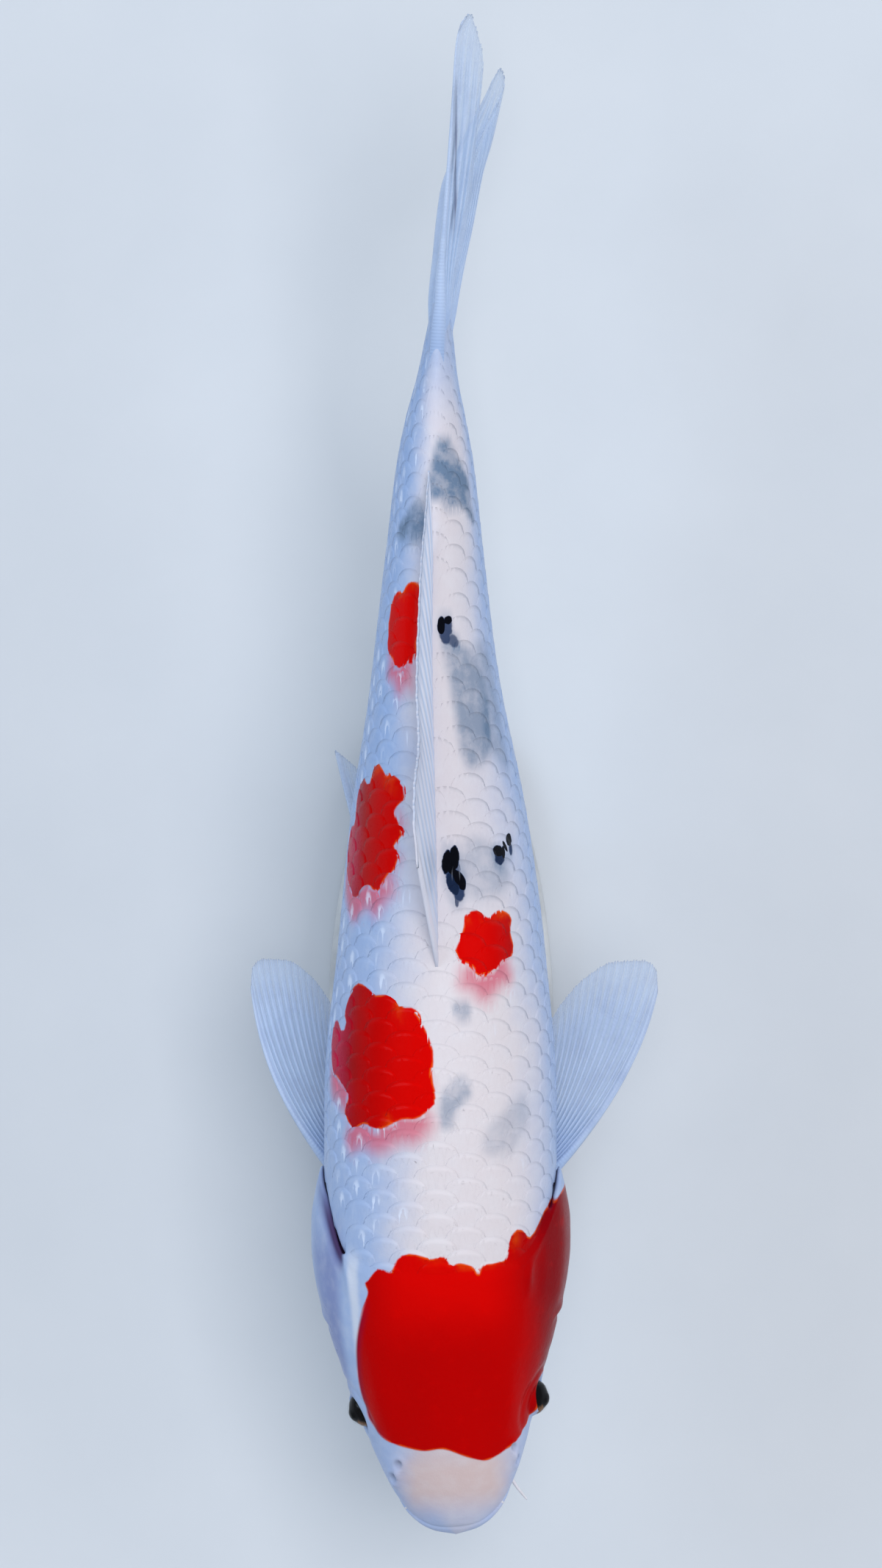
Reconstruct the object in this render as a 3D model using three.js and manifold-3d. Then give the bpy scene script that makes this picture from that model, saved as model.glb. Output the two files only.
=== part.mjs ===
// A koi carp, life size, held over a plain display stand.
// Millimetres, +Z up. The head points along -Y and the fish's left side along +X.
// The origin is the middle of the stand's underside, on the floor.
//
// The body is one closed loft, parted into head, lips, jaw, gill covers and lengths of trunk by thin cuts.
// Each fin is a thin sheet swept from its rays, trimmed where it meets the body.
import * as THREE from "three";
import { mergeVertices } from "three/addons/utils/BufferGeometryUtils.js";
import Module from "manifold-3d";

const wasm = await Module();
wasm.setup();

// ---------- Driving dimensions ----------

const bodyLength = 420; // snout to the end of the tail stalk's flesh, within the tail fin
const noseY = -170; // where the snout lies along Y
const axisHeight = 130; // of the body's axis above the floor
const rollDegrees = 1.5; // the back leans this far towards the fish's right
const gap = 0.3; // between pieces that touch
const roundSegments = 32; // facets round the body

const eye = { s: 45.4, u: { left: 29.1, right: -27.4 }, v: -3.5, radius: 6.4 };
const gillCoverBulge = 5.2; // how far the gill covers stand out from the flanks
const gillCoverDepth = 5; // how far they reach in below the flanks' surface

const stand = { length: 224, width: 80, height: 12, edge: 2, rodRadius: 4, rodsAt: [-34, 62] };

// ---------- Small tools ----------

// A smooth curve through [at, value] stations that never swings past them.
function profile(stations) {
  const slopes = stations.slice(1).map(([x, y], i) => (y - stations[i][1]) / (x - stations[i][0]));
  const tangent = (i) => {
    if (i === 0) return slopes[0];
    if (i === stations.length - 1) return slopes[i - 1];
    const [a, b] = [slopes[i - 1], slopes[i]];
    return a * b <= 0 ? 0 : (2 * a * b) / (a + b);
  };
  return (x) => {
    const inside = THREE.MathUtils.clamp(x, stations[0][0], stations.at(-1)[0]);
    const i = Math.max(0, stations.findIndex(([end]) => inside <= end) - 1);
    const [x0, y0] = stations[i];
    const [x1, y1] = stations[i + 1];
    const h = x1 - x0;
    const t = (inside - x0) / h;
    const rise = (2 * t ** 3 - 3 * t ** 2 + 1) * y0 + (3 * t ** 2 - 2 * t ** 3) * y1;
    return rise + h * ((t ** 3 - 2 * t ** 2 + t) * tangent(i) + (t ** 3 - t ** 2) * tangent(i + 1));
  };
}

const steps = (from, to, count) =>
  Array.from({ length: count + 1 }, (_, i) => from + ((to - from) * i) / count);

// A closed mesh as a solid, with its faces turned outwards.
function solidOf(geometry) {
  const bare = geometry.clone();
  bare.deleteAttribute("normal");
  bare.deleteAttribute("uv");
  const merged = mergeVertices(bare, 1e-4);
  const vertProperties = new Float32Array(merged.attributes.position.array);
  const triVerts = new Uint32Array(merged.index.array);
  const solid = new wasm.Manifold(new wasm.Mesh({ numProp: 3, vertProperties, triVerts }));
  if (solid.volume() > 0) return solid;
  triVerts.reverse();
  return new wasm.Manifold(new wasm.Mesh({ numProp: 3, vertProperties, triVerts }));
}

function geometryOf(solid) {
  const { numProp, vertProperties, triVerts } = solid.getMesh();
  const positions = new Float32Array((vertProperties.length / numProp) * 3);
  for (let i = 0; i < positions.length / 3; i++) {
    positions.set(vertProperties.subarray(i * numProp, i * numProp + 3), i * 3);
  }
  return new THREE.BufferGeometry()
    .setAttribute("position", new THREE.BufferAttribute(positions, 3))
    .setIndex(new THREE.BufferAttribute(triVerts, 1));
}

// Closed rings of points, joined in order and shut by a fan at each end.
function loft(rings) {
  const count = rings[0].length;
  const middle = (ring) => ring.reduce((sum, p) => sum.add(p), new THREE.Vector3()).divideScalar(count);
  const points = [middle(rings[0]), ...rings.flat(), middle(rings.at(-1))];
  const index = [];
  const at = (ring, k) => 1 + ring * count + (k % count);
  for (let k = 0; k < count; k++) {
    index.push(0, at(0, k + 1), at(0, k));
    for (let ring = 0; ring + 1 < rings.length; ring++) {
      index.push(at(ring, k), at(ring, k + 1), at(ring + 1, k));
      index.push(at(ring, k + 1), at(ring + 1, k + 1), at(ring + 1, k));
    }
    index.push(points.length - 1, at(rings.length - 1, k), at(rings.length - 1, k + 1));
  }
  return new THREE.BufferGeometry().setFromPoints(points).setIndex(index);
}

// ---------- The fish's own frame ----------

// How far the body's midline swings to the fish's left, along its length.
const swing = profile([
  [0, 4.8], [28, 3], [60, 0.9], [105, -0.3], [160, -0.2], [200, 0.1],
  [253, -1], [311, -2.2], [374, -1.9], [412, -0.4], [420, 0], [530, 0],
]);

// s runs from the snout to the tail, u to the fish's left and v up, both from the body's axis.
function place(s, u, v) {
  const lean = THREE.MathUtils.degToRad(rollDegrees);
  const heading = Math.atan(swing(s + 1) - swing(s - 1)) / 2;
  const across = u * Math.cos(lean) - v * Math.sin(lean);
  const rise = u * Math.sin(lean) + v * Math.cos(lean);
  return new THREE.Vector3(
    swing(s) + across * Math.cos(heading),
    noseY + s - across * Math.sin(heading),
    axisHeight + rise,
  );
}

const backLine = profile([
  [0, -13], [4, -5.5], [13, 2.5], [28, 12], [43, 19.8], [58, 27], [80, 36.5], [103, 44], [126, 49.5],
  [156, 54.5], [198, 57.5], [246, 53], [291, 44.5], [336, 34], [366, 27.5], [390, 24.5], [408, 24.8],
  [420, 26],
]);
const bellyLine = profile([
  [0, -13], [4, -20.5], [13, -27], [28, -33], [43, -37.5], [58, -41], [80, -46], [103, -49.5],
  [126, -51.5], [156, -53], [200, -53], [246, -50], [291, -43], [336, -33.5], [366, -27.5],
  [390, -24.5], [408, -24.4], [420, -25],
]);
const halfWidth = profile([
  [0, 0], [2, 7.8], [5, 12.4], [13, 18.8], [20, 22.4], [28, 25.6], [43, 30.7], [58, 35.2], [66, 37.2],
  [80, 38.8], [103, 39.8], [126, 40.3], [150, 40.2], [200, 36], [246, 30.6], [291, 22.7], [336, 17.2],
  [366, 13.7], [381, 10.9], [396, 7.4], [412, 4.8], [420, 3.2],
]);
const widestLevel = profile([[0, -13], [28, -12], [58, -8], [103, -5], [156, -2], [200, 0], [420, 0]]);
const bulgeAlong = profile([[62, 0], [73, 0.32], [88, 0.85], [98, 1], [108, 0.94], [118, 0.6], [126, 0.2]]);

// How square the section is: 2 is an ellipse.
const upperSquareness = profile([[0, 2.1], [43, 2.35], [100, 2.2], [160, 2], [300, 2], [420, 2.1]]);
const lowerSquareness = profile([[0, 2.1], [60, 2.3], [200, 2.4], [300, 2.1], [420, 2.1]]);

// One point of the body's section at s. The angle runs from the back, over the left flank, to the belly.
function section(s, angle, grow, bulge) {
  const [sine, cosine] = [Math.sin(angle), Math.cos(angle)];
  const level = widestLevel(s);
  const reach = cosine > 0 ? backLine(s) - level : level - bellyLine(s);
  const squareness = (cosine > 0 ? upperSquareness : lowerSquareness)(s);
  const round = (x) => Math.sign(x) * Math.abs(x) ** (2 / squareness);
  const fromCover = ((angle > Math.PI ? 2 * Math.PI - angle : angle) - 1.75) / 0.62;
  const onCover = Math.exp(-fromCover * fromCover);
  const half = halfWidth(s) + bulge * bulgeAlong(s) * onCover;
  return place(s, (half + grow) * round(sine), level + (reach + grow) * round(cosine));
}

function bodyLoft({ grow = 0, bulge = 0, from = 0.25, to = bodyLength } = {}) {
  const along = [from, 2, 5, 9, 14, 20, 27, 35, 44, 53, 62, 71, 80, 90, 100, 110, 120, 130, 142]
    .concat(steps(156, 380, 14), [390, 401, 412, to]);
  const angles = steps(0, 2 * Math.PI, roundSegments).slice(0, -1);
  return solidOf(loft(along.map((s) => angles.map((angle) => section(s, angle, grow, bulge)))));
}

const sideAxes = new THREE.Matrix4().makeBasis(
  new THREE.Vector3(0, 1, 0),
  new THREE.Vector3(0, 0, 1),
  new THREE.Vector3(1, 0, 0),
);

// A straight-sided block over an outline drawn in the side view, from one place across the fish to another.
function sideBlock(outline, from, to) {
  const shape = new THREE.Shape(outline.map(([s, v]) => new THREE.Vector2(s, v)));
  const block = new THREE.ExtrudeGeometry(shape, { depth: to - from, bevelEnabled: false });
  return solidOf(block.applyMatrix4(sideAxes).translate(from, noseY, axisHeight));
}

// A slice of the fish between two stations.
const sliceOf = (solid, from, to) =>
  solid.intersect(sideBlock([[from, -110], [to, -110], [to, 110], [from, 110]], -90, 90));

// ---------- Materials ----------

const finish = (color, roughness, metalness = 0) =>
  new THREE.MeshStandardMaterial({ color, roughness, metalness });
const whiteSkin = () => finish(0xdfe3ea, 0.32);
const redSkin = () => finish(0xb3140a, 0.3);
const finWhite = () => finish(0xc3d0e0, 0.4);
const eyeBlack = () => finish(0x14110f, 0.08);
const standGrey = () => finish(0xaeb3b8, 0.5);
const rodSteel = () => finish(0xaeb2b8, 0.3, 1);

const koi = new THREE.Group();

function add(name, geometry, material) {
  const mesh = new THREE.Mesh(geometry, material);
  mesh.name = name;
  koi.add(mesh);
}

// ---------- Head, gill covers and trunk ----------

const whole = bodyLoft();
const wholeGrown = bodyLoft({ grow: gap, to: bodyLength + gap });

// The gill cover's outline in the side view.
const coverOutline = [
  [66, -6], [69, 12], [82, 23], [98, 25], [111, 19], [121, 7], [125.5, -7],
  [122, -22], [112, -34], [96, -42], [80, -43], [70, -34], [66, -20],
];
const coverMiddle = [95, -8];

// The same outline, moved out all round.
const widened = (outline, by) =>
  outline.map(([s, v]) => {
    const out = new THREE.Vector2(s - coverMiddle[0], v - coverMiddle[1]);
    out.setLength(out.length() + by).add(new THREE.Vector2(...coverMiddle));
    return [out.x, out.y];
  });

function gillCover(side) {
  const reach = (outline) => sideBlock(outline, side > 0 ? 12 : -70, side > 0 ? 70 : -12);
  const core = bodyLoft({ grow: -gillCoverDepth });
  const coreSmaller = bodyLoft({ grow: -gillCoverDepth - gap });
  return {
    solid: bodyLoft({ bulge: gillCoverBulge }).intersect(reach(coverOutline)).subtract(core),
    recess: reach(widened(coverOutline, gap)).subtract(coreSmaller),
  };
}

const covers = { left: gillCover(1), right: gillCover(-1) };

const eyeBall = (sideName, radius) => {
  const ball = new THREE.SphereGeometry(radius, 15, 10);
  const at = place(eye.s, eye.u[sideName], eye.v);
  return ball.translate(at.x, at.y, at.z);
};

// Where the mouth opens, from the tip of the snout to its corner, and the groove over the upper lip.
const mouthFront = [-6, -12];
const mouthCorner = [23, -24];
const lipTop = [[-6, -4.5], [3, -6], [19, -17.5]];

const shift = ([s, v], back, up) => [s + back, v + up];
const mouthLine = (up) => [shift(mouthCorner, 0, up), shift(mouthFront, 0, up)];
const jawOutline = [[33, -60], ...mouthLine(-gap / 2), [-6, -60]];
const jawCut = [[33 + gap, -60], ...mouthLine(gap / 2), [-6, -60]];
const lipOutline = [...mouthLine(gap / 2), ...lipTop];
const lipCut = [shift(mouthCorner, gap, -gap), mouthFront, ...lipTop.map((at) => shift(at, gap, gap))];

const napeAt = 99; // where the skull ends and the trunk begins
// The trunk's lengths end in front of the dorsal fin and at the anal fin.
const trunkCuts = [napeAt, 198, 300];

let head = sliceOf(whole, -6, napeAt - gap);
for (const outline of [jawCut, lipCut]) head = head.subtract(sideBlock(outline, -60, 60));
for (const { recess } of Object.values(covers)) head = head.subtract(recess);
for (const name of ["left", "right"]) head = head.subtract(solidOf(eyeBall(name, eye.radius + gap)));
add("head", geometryOf(head), redSkin());

const front = sliceOf(whole, -6, 40);
add("jaw_lower", geometryOf(front.intersect(sideBlock(jawOutline, -60, 60))), whiteSkin());
add("lip_upper", geometryOf(front.intersect(sideBlock(lipOutline, -60, 60))), whiteSkin());

for (const [name, side] of [["left", 1], ["right", -1]]) {
  add(`eye_${name}`, eyeBall(name, eye.radius), eyeBlack());
  add(`gill_cover_${name}`, geometryOf(covers[name].solid), side > 0 ? redSkin() : whiteSkin());
}

const trunkNames = ["trunk_front", "trunk_middle", "tail_stalk"];
trunkNames.forEach((name, i) => {
  const end = trunkCuts[i + 1] ? trunkCuts[i + 1] - gap : bodyLength + 5;
  let length = sliceOf(whole, trunkCuts[i], end);
  if (i === 0) for (const { recess } of Object.values(covers)) length = length.subtract(recess);
  add(name, geometryOf(length), whiteSkin());
});

// ---------- Barbels ----------

// A feeler that tapers along a curve through its points, given as [s, u, v].
function barbel(points, rootRadius) {
  const line = new THREE.CatmullRomCurve3(points.map((p) => place(...p)));
  const rings = steps(0, 1, 7).map((t) => {
    const [centre, ahead] = [line.getPointAt(t), line.getTangentAt(t)];
    const sideways = new THREE.Vector3(0, 0, 1).cross(ahead).normalize();
    const upwards = ahead.clone().cross(sideways);
    const radius = rootRadius * (1 - t) + 0.3 * t;
    return steps(0, 2 * Math.PI, 6).slice(0, -1).map((turn) =>
      centre.clone()
        .addScaledVector(sideways, radius * Math.cos(turn))
        .addScaledVector(upwards, radius * Math.sin(turn)));
  });
  return solidOf(loft(rings)).subtract(wholeGrown);
}

const cornerBarbel = {
  left: [[18.5, 17.6, -21.5], [16.2, 20.2, -21.8], [13.2, 22, -22.4], [9, 24.8, -24.4]],
  right: [[20, -17.5, -21.5], [19.5, -20.5, -24], [19, -21, -29.5], [21, -21, -35]],
};
const lipBarbel = [[11, 14.5, -12], [9.5, 16.4, -14.5], [9, 16, -18.5], [10.5, 15, -22.5]];
for (const [name, side] of [["left", 1], ["right", -1]]) {
  const upper = lipBarbel.map(([s, u, v]) => [s, side * u, v]);
  add(`barbel_corner_${name}`, geometryOf(barbel(cornerBarbel[name], 0.7)), whiteSkin());
  add(`barbel_lip_${name}`, geometryOf(barbel(upper, 0.55)), whiteSkin());
}

// ---------- Fins ----------

// A sheet given as [s, u, v] for a, from the first ray to the last, and b, from root to tip.
// Flesh thickens it over the near part of its rays.
const fleshReach = 0.45;
function finSheet(surface, across, along, rootThickness, tipThickness, flesh = 0) {
  const point = (a, b) => place(...surface(a, b));
  const step = 1e-3;
  const offset = (a, b, face) => {
    const alongRay = point(a, b + step).sub(point(a, b - step));
    const acrossRays = point(a + step, b).sub(point(a - step, b));
    const normal = alongRay.cross(acrossRays).normalize();
    const fleshy = flesh * (1 - THREE.MathUtils.smoothstep(b, 0, fleshReach));
    const thickness = THREE.MathUtils.lerp(rootThickness, tipThickness, b) + fleshy;
    return point(a, b).addScaledVector(normal, (face * thickness) / 2);
  };
  const rows = steps(0, 1, across);
  const rings = steps(0, 1, along).map((b) => [
    ...rows.map((a) => offset(a, b, 1)),
    ...rows.toReversed().map((a) => offset(a, b, -1)),
  ]);
  return solidOf(stripLoft(rings));
}

// As loft, but each end is shut by a strip across the sheet's thickness.
function stripLoft(rings) {
  const count = rings[0].length;
  const index = [];
  const at = (ring, k) => ring * count + (k % count);
  for (let ring = 0; ring + 1 < rings.length; ring++) {
    for (let k = 0; k < count; k++) {
      index.push(at(ring, k), at(ring, k + 1), at(ring + 1, k));
      index.push(at(ring, k + 1), at(ring + 1, k + 1), at(ring + 1, k));
    }
  }
  const last = rings.length - 1;
  for (let k = 0; k + 1 < count / 2; k++) {
    const back = count - 1 - k;
    index.push(at(0, k), at(0, back), at(0, k + 1));
    index.push(at(0, k + 1), at(0, back), at(0, back - 1));
    index.push(at(last, k), at(last, k + 1), at(last, back));
    index.push(at(last, k + 1), at(last, back - 1), at(last, back));
  }
  return new THREE.BufferGeometry().setFromPoints(rings.flat()).setIndex(index);
}

const bow = (from, middle, to, t) =>
  from.map((x, i) => (1 - t) ** 2 * x + 2 * t * (1 - t) * middle[i] + t ** 2 * to[i]);

// Paired fins. Each ray bows from its root to the fin's margin.
const pectoral = {
  rootS: profile([[0, 119], [1, 127]]),
  rootU: profile([[0, 34], [1, 28]]),
  rootV: profile([[0, -26], [1, -40]]),
  marginS: profile([[0, 186], [0.12, 193], [0.25, 196.5], [0.45, 196], [0.65, 191], [0.85, 182], [1, 170]]),
  marginU: profile([[0, 74], [0.12, 73.5], [0.25, 69], [0.45, 59], [0.65, 49.5], [0.85, 41], [1, 34]]),
  marginV: profile([[0, -36], [0.5, -43], [1, -50]]),
};

function pectoralSheet(side, spread) {
  return (a, b) => {
    const root = [pectoral.rootS(a), pectoral.rootU(a), pectoral.rootV(a)];
    const margin = [pectoral.marginS(a), pectoral.marginU(a), pectoral.marginV(a)];
    margin[1] = 38 + (margin[1] - 38) * spread;
    const bowOut = 1 - 0.75 * a;
    const middle = [
      (root[0] + margin[0]) / 2 - 4 * bowOut,
      (root[1] + margin[1]) / 2 + 12 * bowOut,
      (root[2] + margin[2]) / 2 + 2,
    ];
    const [s, u, v] = bow(root, middle, margin, b);
    return [s, side * u, v];
  };
}

const pelvic = {
  rootS: profile([[0, 203], [1, 213]]),
  rootU: profile([[0, 19], [1, 9]]),
  rootV: profile([[0, -41], [1, -47]]),
  marginS: profile([[0, 270], [0.2, 266.5], [0.6, 256], [1, 240]]),
  marginU: profile([[0, 37], [0.2, 33], [0.6, 23], [1, 14]]),
  marginV: profile([[0, -54], [0.5, -60], [1, -62]]),
};

function pelvicSheet(side, spread) {
  return (a, b) => {
    const root = [pelvic.rootS(a), pelvic.rootU(a), pelvic.rootV(a)];
    const margin = [pelvic.marginS(a), 12 + (pelvic.marginU(a) - 12) * spread, pelvic.marginV(a)];
    const middle = root.map((x, i) => (x + margin[i]) / 2 + [-2, 2 * (1 - a), -3][i]);
    const [s, u, v] = bow(root, middle, margin, b);
    return [s, side * u, v];
  };
}

// The dorsal fin is lowered: its rays slope back over the body, and the blade leans to the fish's right.
const dorsal = {
  from: 196,
  to: 334,
  rise: profile([[0, 40], [0.15, 36], [0.5, 20], [1, 4]]), // degrees above the horizontal
  length: profile([[0, 44], [0.06, 52], [0.14, 50], [0.3, 37], [0.5, 29], [0.8, 26], [1, 29]]),
  lean: profile([[0, 0.6], [0.3, 1.6], [0.5, 3.4], [0.75, 3.2], [1, 1.2]]), // how far its edge hangs over
  rootDepth: 7,
};

function dorsalSheet(a, b) {
  const rootS = THREE.MathUtils.lerp(dorsal.from, dorsal.to, a);
  const rise = THREE.MathUtils.degToRad(dorsal.rise(a));
  const reach = b * (dorsal.length(a) + dorsal.rootDepth) - dorsal.rootDepth;
  const curl = 0.12 * Math.max(0, reach) * b;
  const up = reach * Math.sin(rise) - curl - (reach < 0 ? -reach * 0.4 : 0);
  const s = rootS + reach * Math.cos(rise);
  return [s, -0.2 * Math.max(0, up) - dorsal.lean(a) * b * Math.max(0, b), backLine(rootS) + up];
}

const anal = {
  from: 311,
  to: 338,
  length: profile([[0, 40], [0.15, 46], [0.4, 38], [0.7, 29], [1, 25]]),
  fall: profile([[0, 52], [1, 30]]),
  rootDepth: 6,
};

function analSheet(a, b) {
  const rootS = THREE.MathUtils.lerp(anal.from, anal.to, a);
  const fall = THREE.MathUtils.degToRad(anal.fall(a));
  const reach = b * (anal.length(a) + anal.rootDepth) - anal.rootDepth;
  return [rootS + reach * Math.cos(fall), 2.5 * b * b, bellyLine(rootS) - reach * Math.sin(fall)];
}

// The tail fin's rays are numbered from -1, at its lower edge, to 1, at its upper.
const tail = {
  rootS: 400,
  rootHalf: 21,
  marginS: profile([
    [-1, 499], [-0.85, 505], [-0.6, 501], [-0.3, 486], [0, 471],
    [0.3, 486], [0.6, 506], [0.85, 516], [1, 511],
  ]),
  marginV: profile([[-1, -52], [-0.85, -45], [-0.5, -25], [0, 0], [0.5, 27], [0.85, 49], [1, 57]]),
};

// How far the fin swings to the fish's left along five of its rays, so that its two lobes curl.
const tailRays = [
  profile([[400, 0], [425, -3.9], [444, -2.9], [463, -0.8], [478, 5.4], [495, 14], [505, 18.5]]),
  profile([[400, 0], [414, 2.4], [445, 9.4], [467, 13.8], [478, 16.8], [495, 20.6], [503, 21.8]]),
  profile([[400, 0], [425, 3.4], [447, 8], [471, 11.7]]),
  profile([[400, 0], [425, 2.9], [447, 7.4], [470, 11.1], [487, 13.6], [509, 15.6]]),
  profile([[400, 0], [425, 0.6], [448, 2.3], [471, 4.1], [487, 5.3], [505, 6.6], [519, 10.9]]),
];

function tailSheet(ray, b) {
  const s = THREE.MathUtils.lerp(tail.rootS - 3 * ray * ray, tail.marginS(ray), b);
  const v = THREE.MathUtils.lerp(tail.rootHalf * ray, tail.marginV(ray), b * (1.4 - 0.4 * b));
  const spaces = tailRays.length - 1;
  const between = THREE.MathUtils.clamp(((ray + 1) / 2) * spaces, 0, spaces - 0.001);
  const lower = Math.floor(between);
  const share = THREE.MathUtils.smoothstep(between - lower, 0, 1);
  return [s, THREE.MathUtils.lerp(tailRays[lower](s), tailRays[lower + 1](s), share), v];
}

const halfFan = (from, to) => (a, b) => tailSheet(THREE.MathUtils.lerp(from, to, a), b);
const midRay = 0.006; // half the slit between the tail fin's two lobes, as a share of the fan

const fins = {
  fin_dorsal: finSheet(dorsalSheet, 15, 4, 1.5, 0.8),
  fin_anal: finSheet(analSheet, 6, 4, 1.6, 0.8),
  fin_tail_upper: finSheet(halfFan(midRay, 1), 9, 8, 2, 0.8, 3.2),
  fin_tail_lower: finSheet(halfFan(-1, -midRay), 9, 8, 2, 0.8, 3.2),
  fin_pectoral_left: finSheet(pectoralSheet(1, 1), 9, 7, 1.8, 0.8),
  fin_pectoral_right: finSheet(pectoralSheet(-1, 0.8), 9, 7, 1.8, 0.8),
  fin_pelvic_left: finSheet(pelvicSheet(1, 0.4), 6, 5, 1.6, 0.8),
  fin_pelvic_right: finSheet(pelvicSheet(-1, 1), 6, 5, 1.6, 0.8),
};
const coverGrown = bodyLoft({ bulge: gillCoverBulge, grow: gap }).intersect(
  sideBlock(widened(coverOutline, gap), -80, 80),
);
for (const [name, solid] of Object.entries(fins)) {
  const trimmed = solid.subtract(wholeGrown).subtract(coverGrown);
  const largest = trimmed.decompose().sort((one, other) => other.volume() - one.volume())[0];
  add(name, geometryOf(largest), finWhite());
}

// ---------- Display stand ----------

// An oval plate with rounded edges.
const oval = new THREE.Shape();
oval.absellipse(0, 0, stand.width / 2 - stand.edge, stand.length / 2 - stand.edge, 0, 2 * Math.PI);
const slab = new THREE.ExtrudeGeometry(oval, {
  depth: stand.height - stand.edge,
  bevelSize: stand.edge,
  bevelThickness: stand.edge,
  bevelSegments: 1,
  curveSegments: 24,
});
// The lower bevel is cut away, so that the base stands on its full width.
const belowFloor = new THREE.BoxGeometry(400, 400, 40).translate(0, 0, -20);
add("stand_base", geometryOf(solidOf(slab).subtract(solidOf(belowFloor))), standGrey());

stand.rodsAt.forEach((y, i) => {
  const top = axisHeight - 20;
  const rod = new THREE.CylinderGeometry(stand.rodRadius, stand.rodRadius, top - stand.height - gap, 20)
    .rotateX(Math.PI / 2)
    .translate(0, y, (top + stand.height + gap) / 2);
  add(i ? "stand_rod_rear" : "stand_rod_front", geometryOf(solidOf(rod).subtract(wholeGrown)), rodSteel());
});

export default koi;
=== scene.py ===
import math

import bmesh
import bpy
import numpy as np
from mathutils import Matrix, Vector


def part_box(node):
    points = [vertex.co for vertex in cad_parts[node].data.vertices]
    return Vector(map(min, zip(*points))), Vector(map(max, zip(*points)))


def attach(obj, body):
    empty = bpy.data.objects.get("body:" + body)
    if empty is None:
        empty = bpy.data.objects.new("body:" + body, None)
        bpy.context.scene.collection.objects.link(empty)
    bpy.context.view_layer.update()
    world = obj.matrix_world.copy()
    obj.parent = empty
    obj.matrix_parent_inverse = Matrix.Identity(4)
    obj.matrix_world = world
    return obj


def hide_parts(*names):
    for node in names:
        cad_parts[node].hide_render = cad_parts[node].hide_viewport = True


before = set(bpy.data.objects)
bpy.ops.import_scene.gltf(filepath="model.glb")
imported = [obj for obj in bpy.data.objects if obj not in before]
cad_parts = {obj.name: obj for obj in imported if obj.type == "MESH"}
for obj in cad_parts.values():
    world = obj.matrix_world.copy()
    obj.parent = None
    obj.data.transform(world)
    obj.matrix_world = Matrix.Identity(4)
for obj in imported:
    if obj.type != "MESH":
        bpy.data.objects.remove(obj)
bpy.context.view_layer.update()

metre = 0.001


def profile(stations):
    # a smooth curve through [at, value] stations that never swings past them
    at, value = np.array(stations, float).T
    slope = np.diff(value) / np.diff(at)
    before, after = slope[:-1], slope[1:]
    safe = np.where(before * after > 0, before + after, 1)
    middle = np.where(before * after > 0, 2 * before * after / safe, 0)
    tangent = np.concatenate([slope[:1], middle, slope[-1:]])

    def curve(x):
        x = np.clip(np.asarray(x, float), at[0], at[-1])
        i = np.clip(np.searchsorted(at, x) - 1, 0, len(at) - 2)
        h = at[i + 1] - at[i]
        t = (x - at[i]) / h
        rise = (2 * t**3 - 3 * t**2 + 1) * value[i] + (3 * t**2 - 2 * t**3) * value[i + 1]
        return rise + h * ((t**3 - 2 * t**2 + t) * tangent[i] + (t**3 - t**2) * tangent[i + 1])

    return curve


def smooth(low, high, x):
    t = np.clip((np.asarray(x, float) - low) / (high - low), 0, 1)
    return t * t * (3 - 2 * t)


def hump(x, width):
    return np.exp(-((x / width) ** 2))


def mix(a, b, t):
    return a + (b - a) * t


def unit(vectors):
    return vectors / np.maximum(np.linalg.norm(vectors, axis=-1, keepdims=True), 1e-12)


# the fish's form, the same as in the solids
fish = {
    "noseY": -170,
    "axisHeight": 130,
    "rollDegrees": 1.5,
    "length": 420,
    "coverBulge": 5.2,  # how far the gill covers stand out
    "coverAngle": 1.75,  # where they stand out most, as an angle from the back
    "coverSpan": 0.62,
    "headDepth": 0.3,  # how far the skin lies inside the solids on the head
    "coatDepth": 0.6,  # and under the scales
}

swing = profile([
    [0, 4.8], [28, 3], [60, 0.9], [105, -0.3], [160, -0.2], [200, 0.1],
    [253, -1], [311, -2.2], [374, -1.9], [412, -0.4], [420, 0], [530, 0],
])
backLine = profile([
    [0, -13], [4, -5.5], [13, 2.5], [28, 12], [43, 19.8], [58, 27], [80, 36.5], [103, 44], [126, 49.5],
    [156, 54.5], [198, 57.5], [246, 53], [291, 44.5], [336, 34], [366, 27.5], [390, 24.5], [408, 24.8],
    [420, 26],
])
bellyLine = profile([
    [0, -13], [4, -20.5], [13, -27], [28, -33], [43, -37.5], [58, -41], [80, -46], [103, -49.5],
    [126, -51.5], [156, -53], [200, -53], [246, -50], [291, -43], [336, -33.5], [366, -27.5],
    [390, -24.5], [408, -24.4], [420, -25],
])
halfWidth = profile([
    [0, 0], [2, 7.8], [5, 12.4], [13, 18.8], [20, 22.4], [28, 25.6], [43, 30.7], [58, 35.2], [66, 37.2],
    [80, 38.8], [103, 39.8], [126, 40.3], [150, 40.2], [200, 36], [246, 30.6], [291, 22.7], [336, 17.2],
    [366, 13.7], [381, 10.9], [396, 7.4], [412, 4.8], [420, 3.2],
])
widestLevel = profile([[0, -13], [28, -12], [58, -8], [103, -5], [156, -2], [200, 0], [420, 0]])
bulgeAlong = profile([[62, 0], [73, 0.32], [88, 0.85], [98, 1], [108, 0.94], [118, 0.6], [126, 0.2]])
upperSquareness = profile([[0, 2.1], [43, 2.35], [100, 2.2], [160, 2], [300, 2], [420, 2.1]])
lowerSquareness = profile([[0, 2.1], [60, 2.3], [200, 2.4], [300, 2.1], [420, 2.1]])


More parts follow.
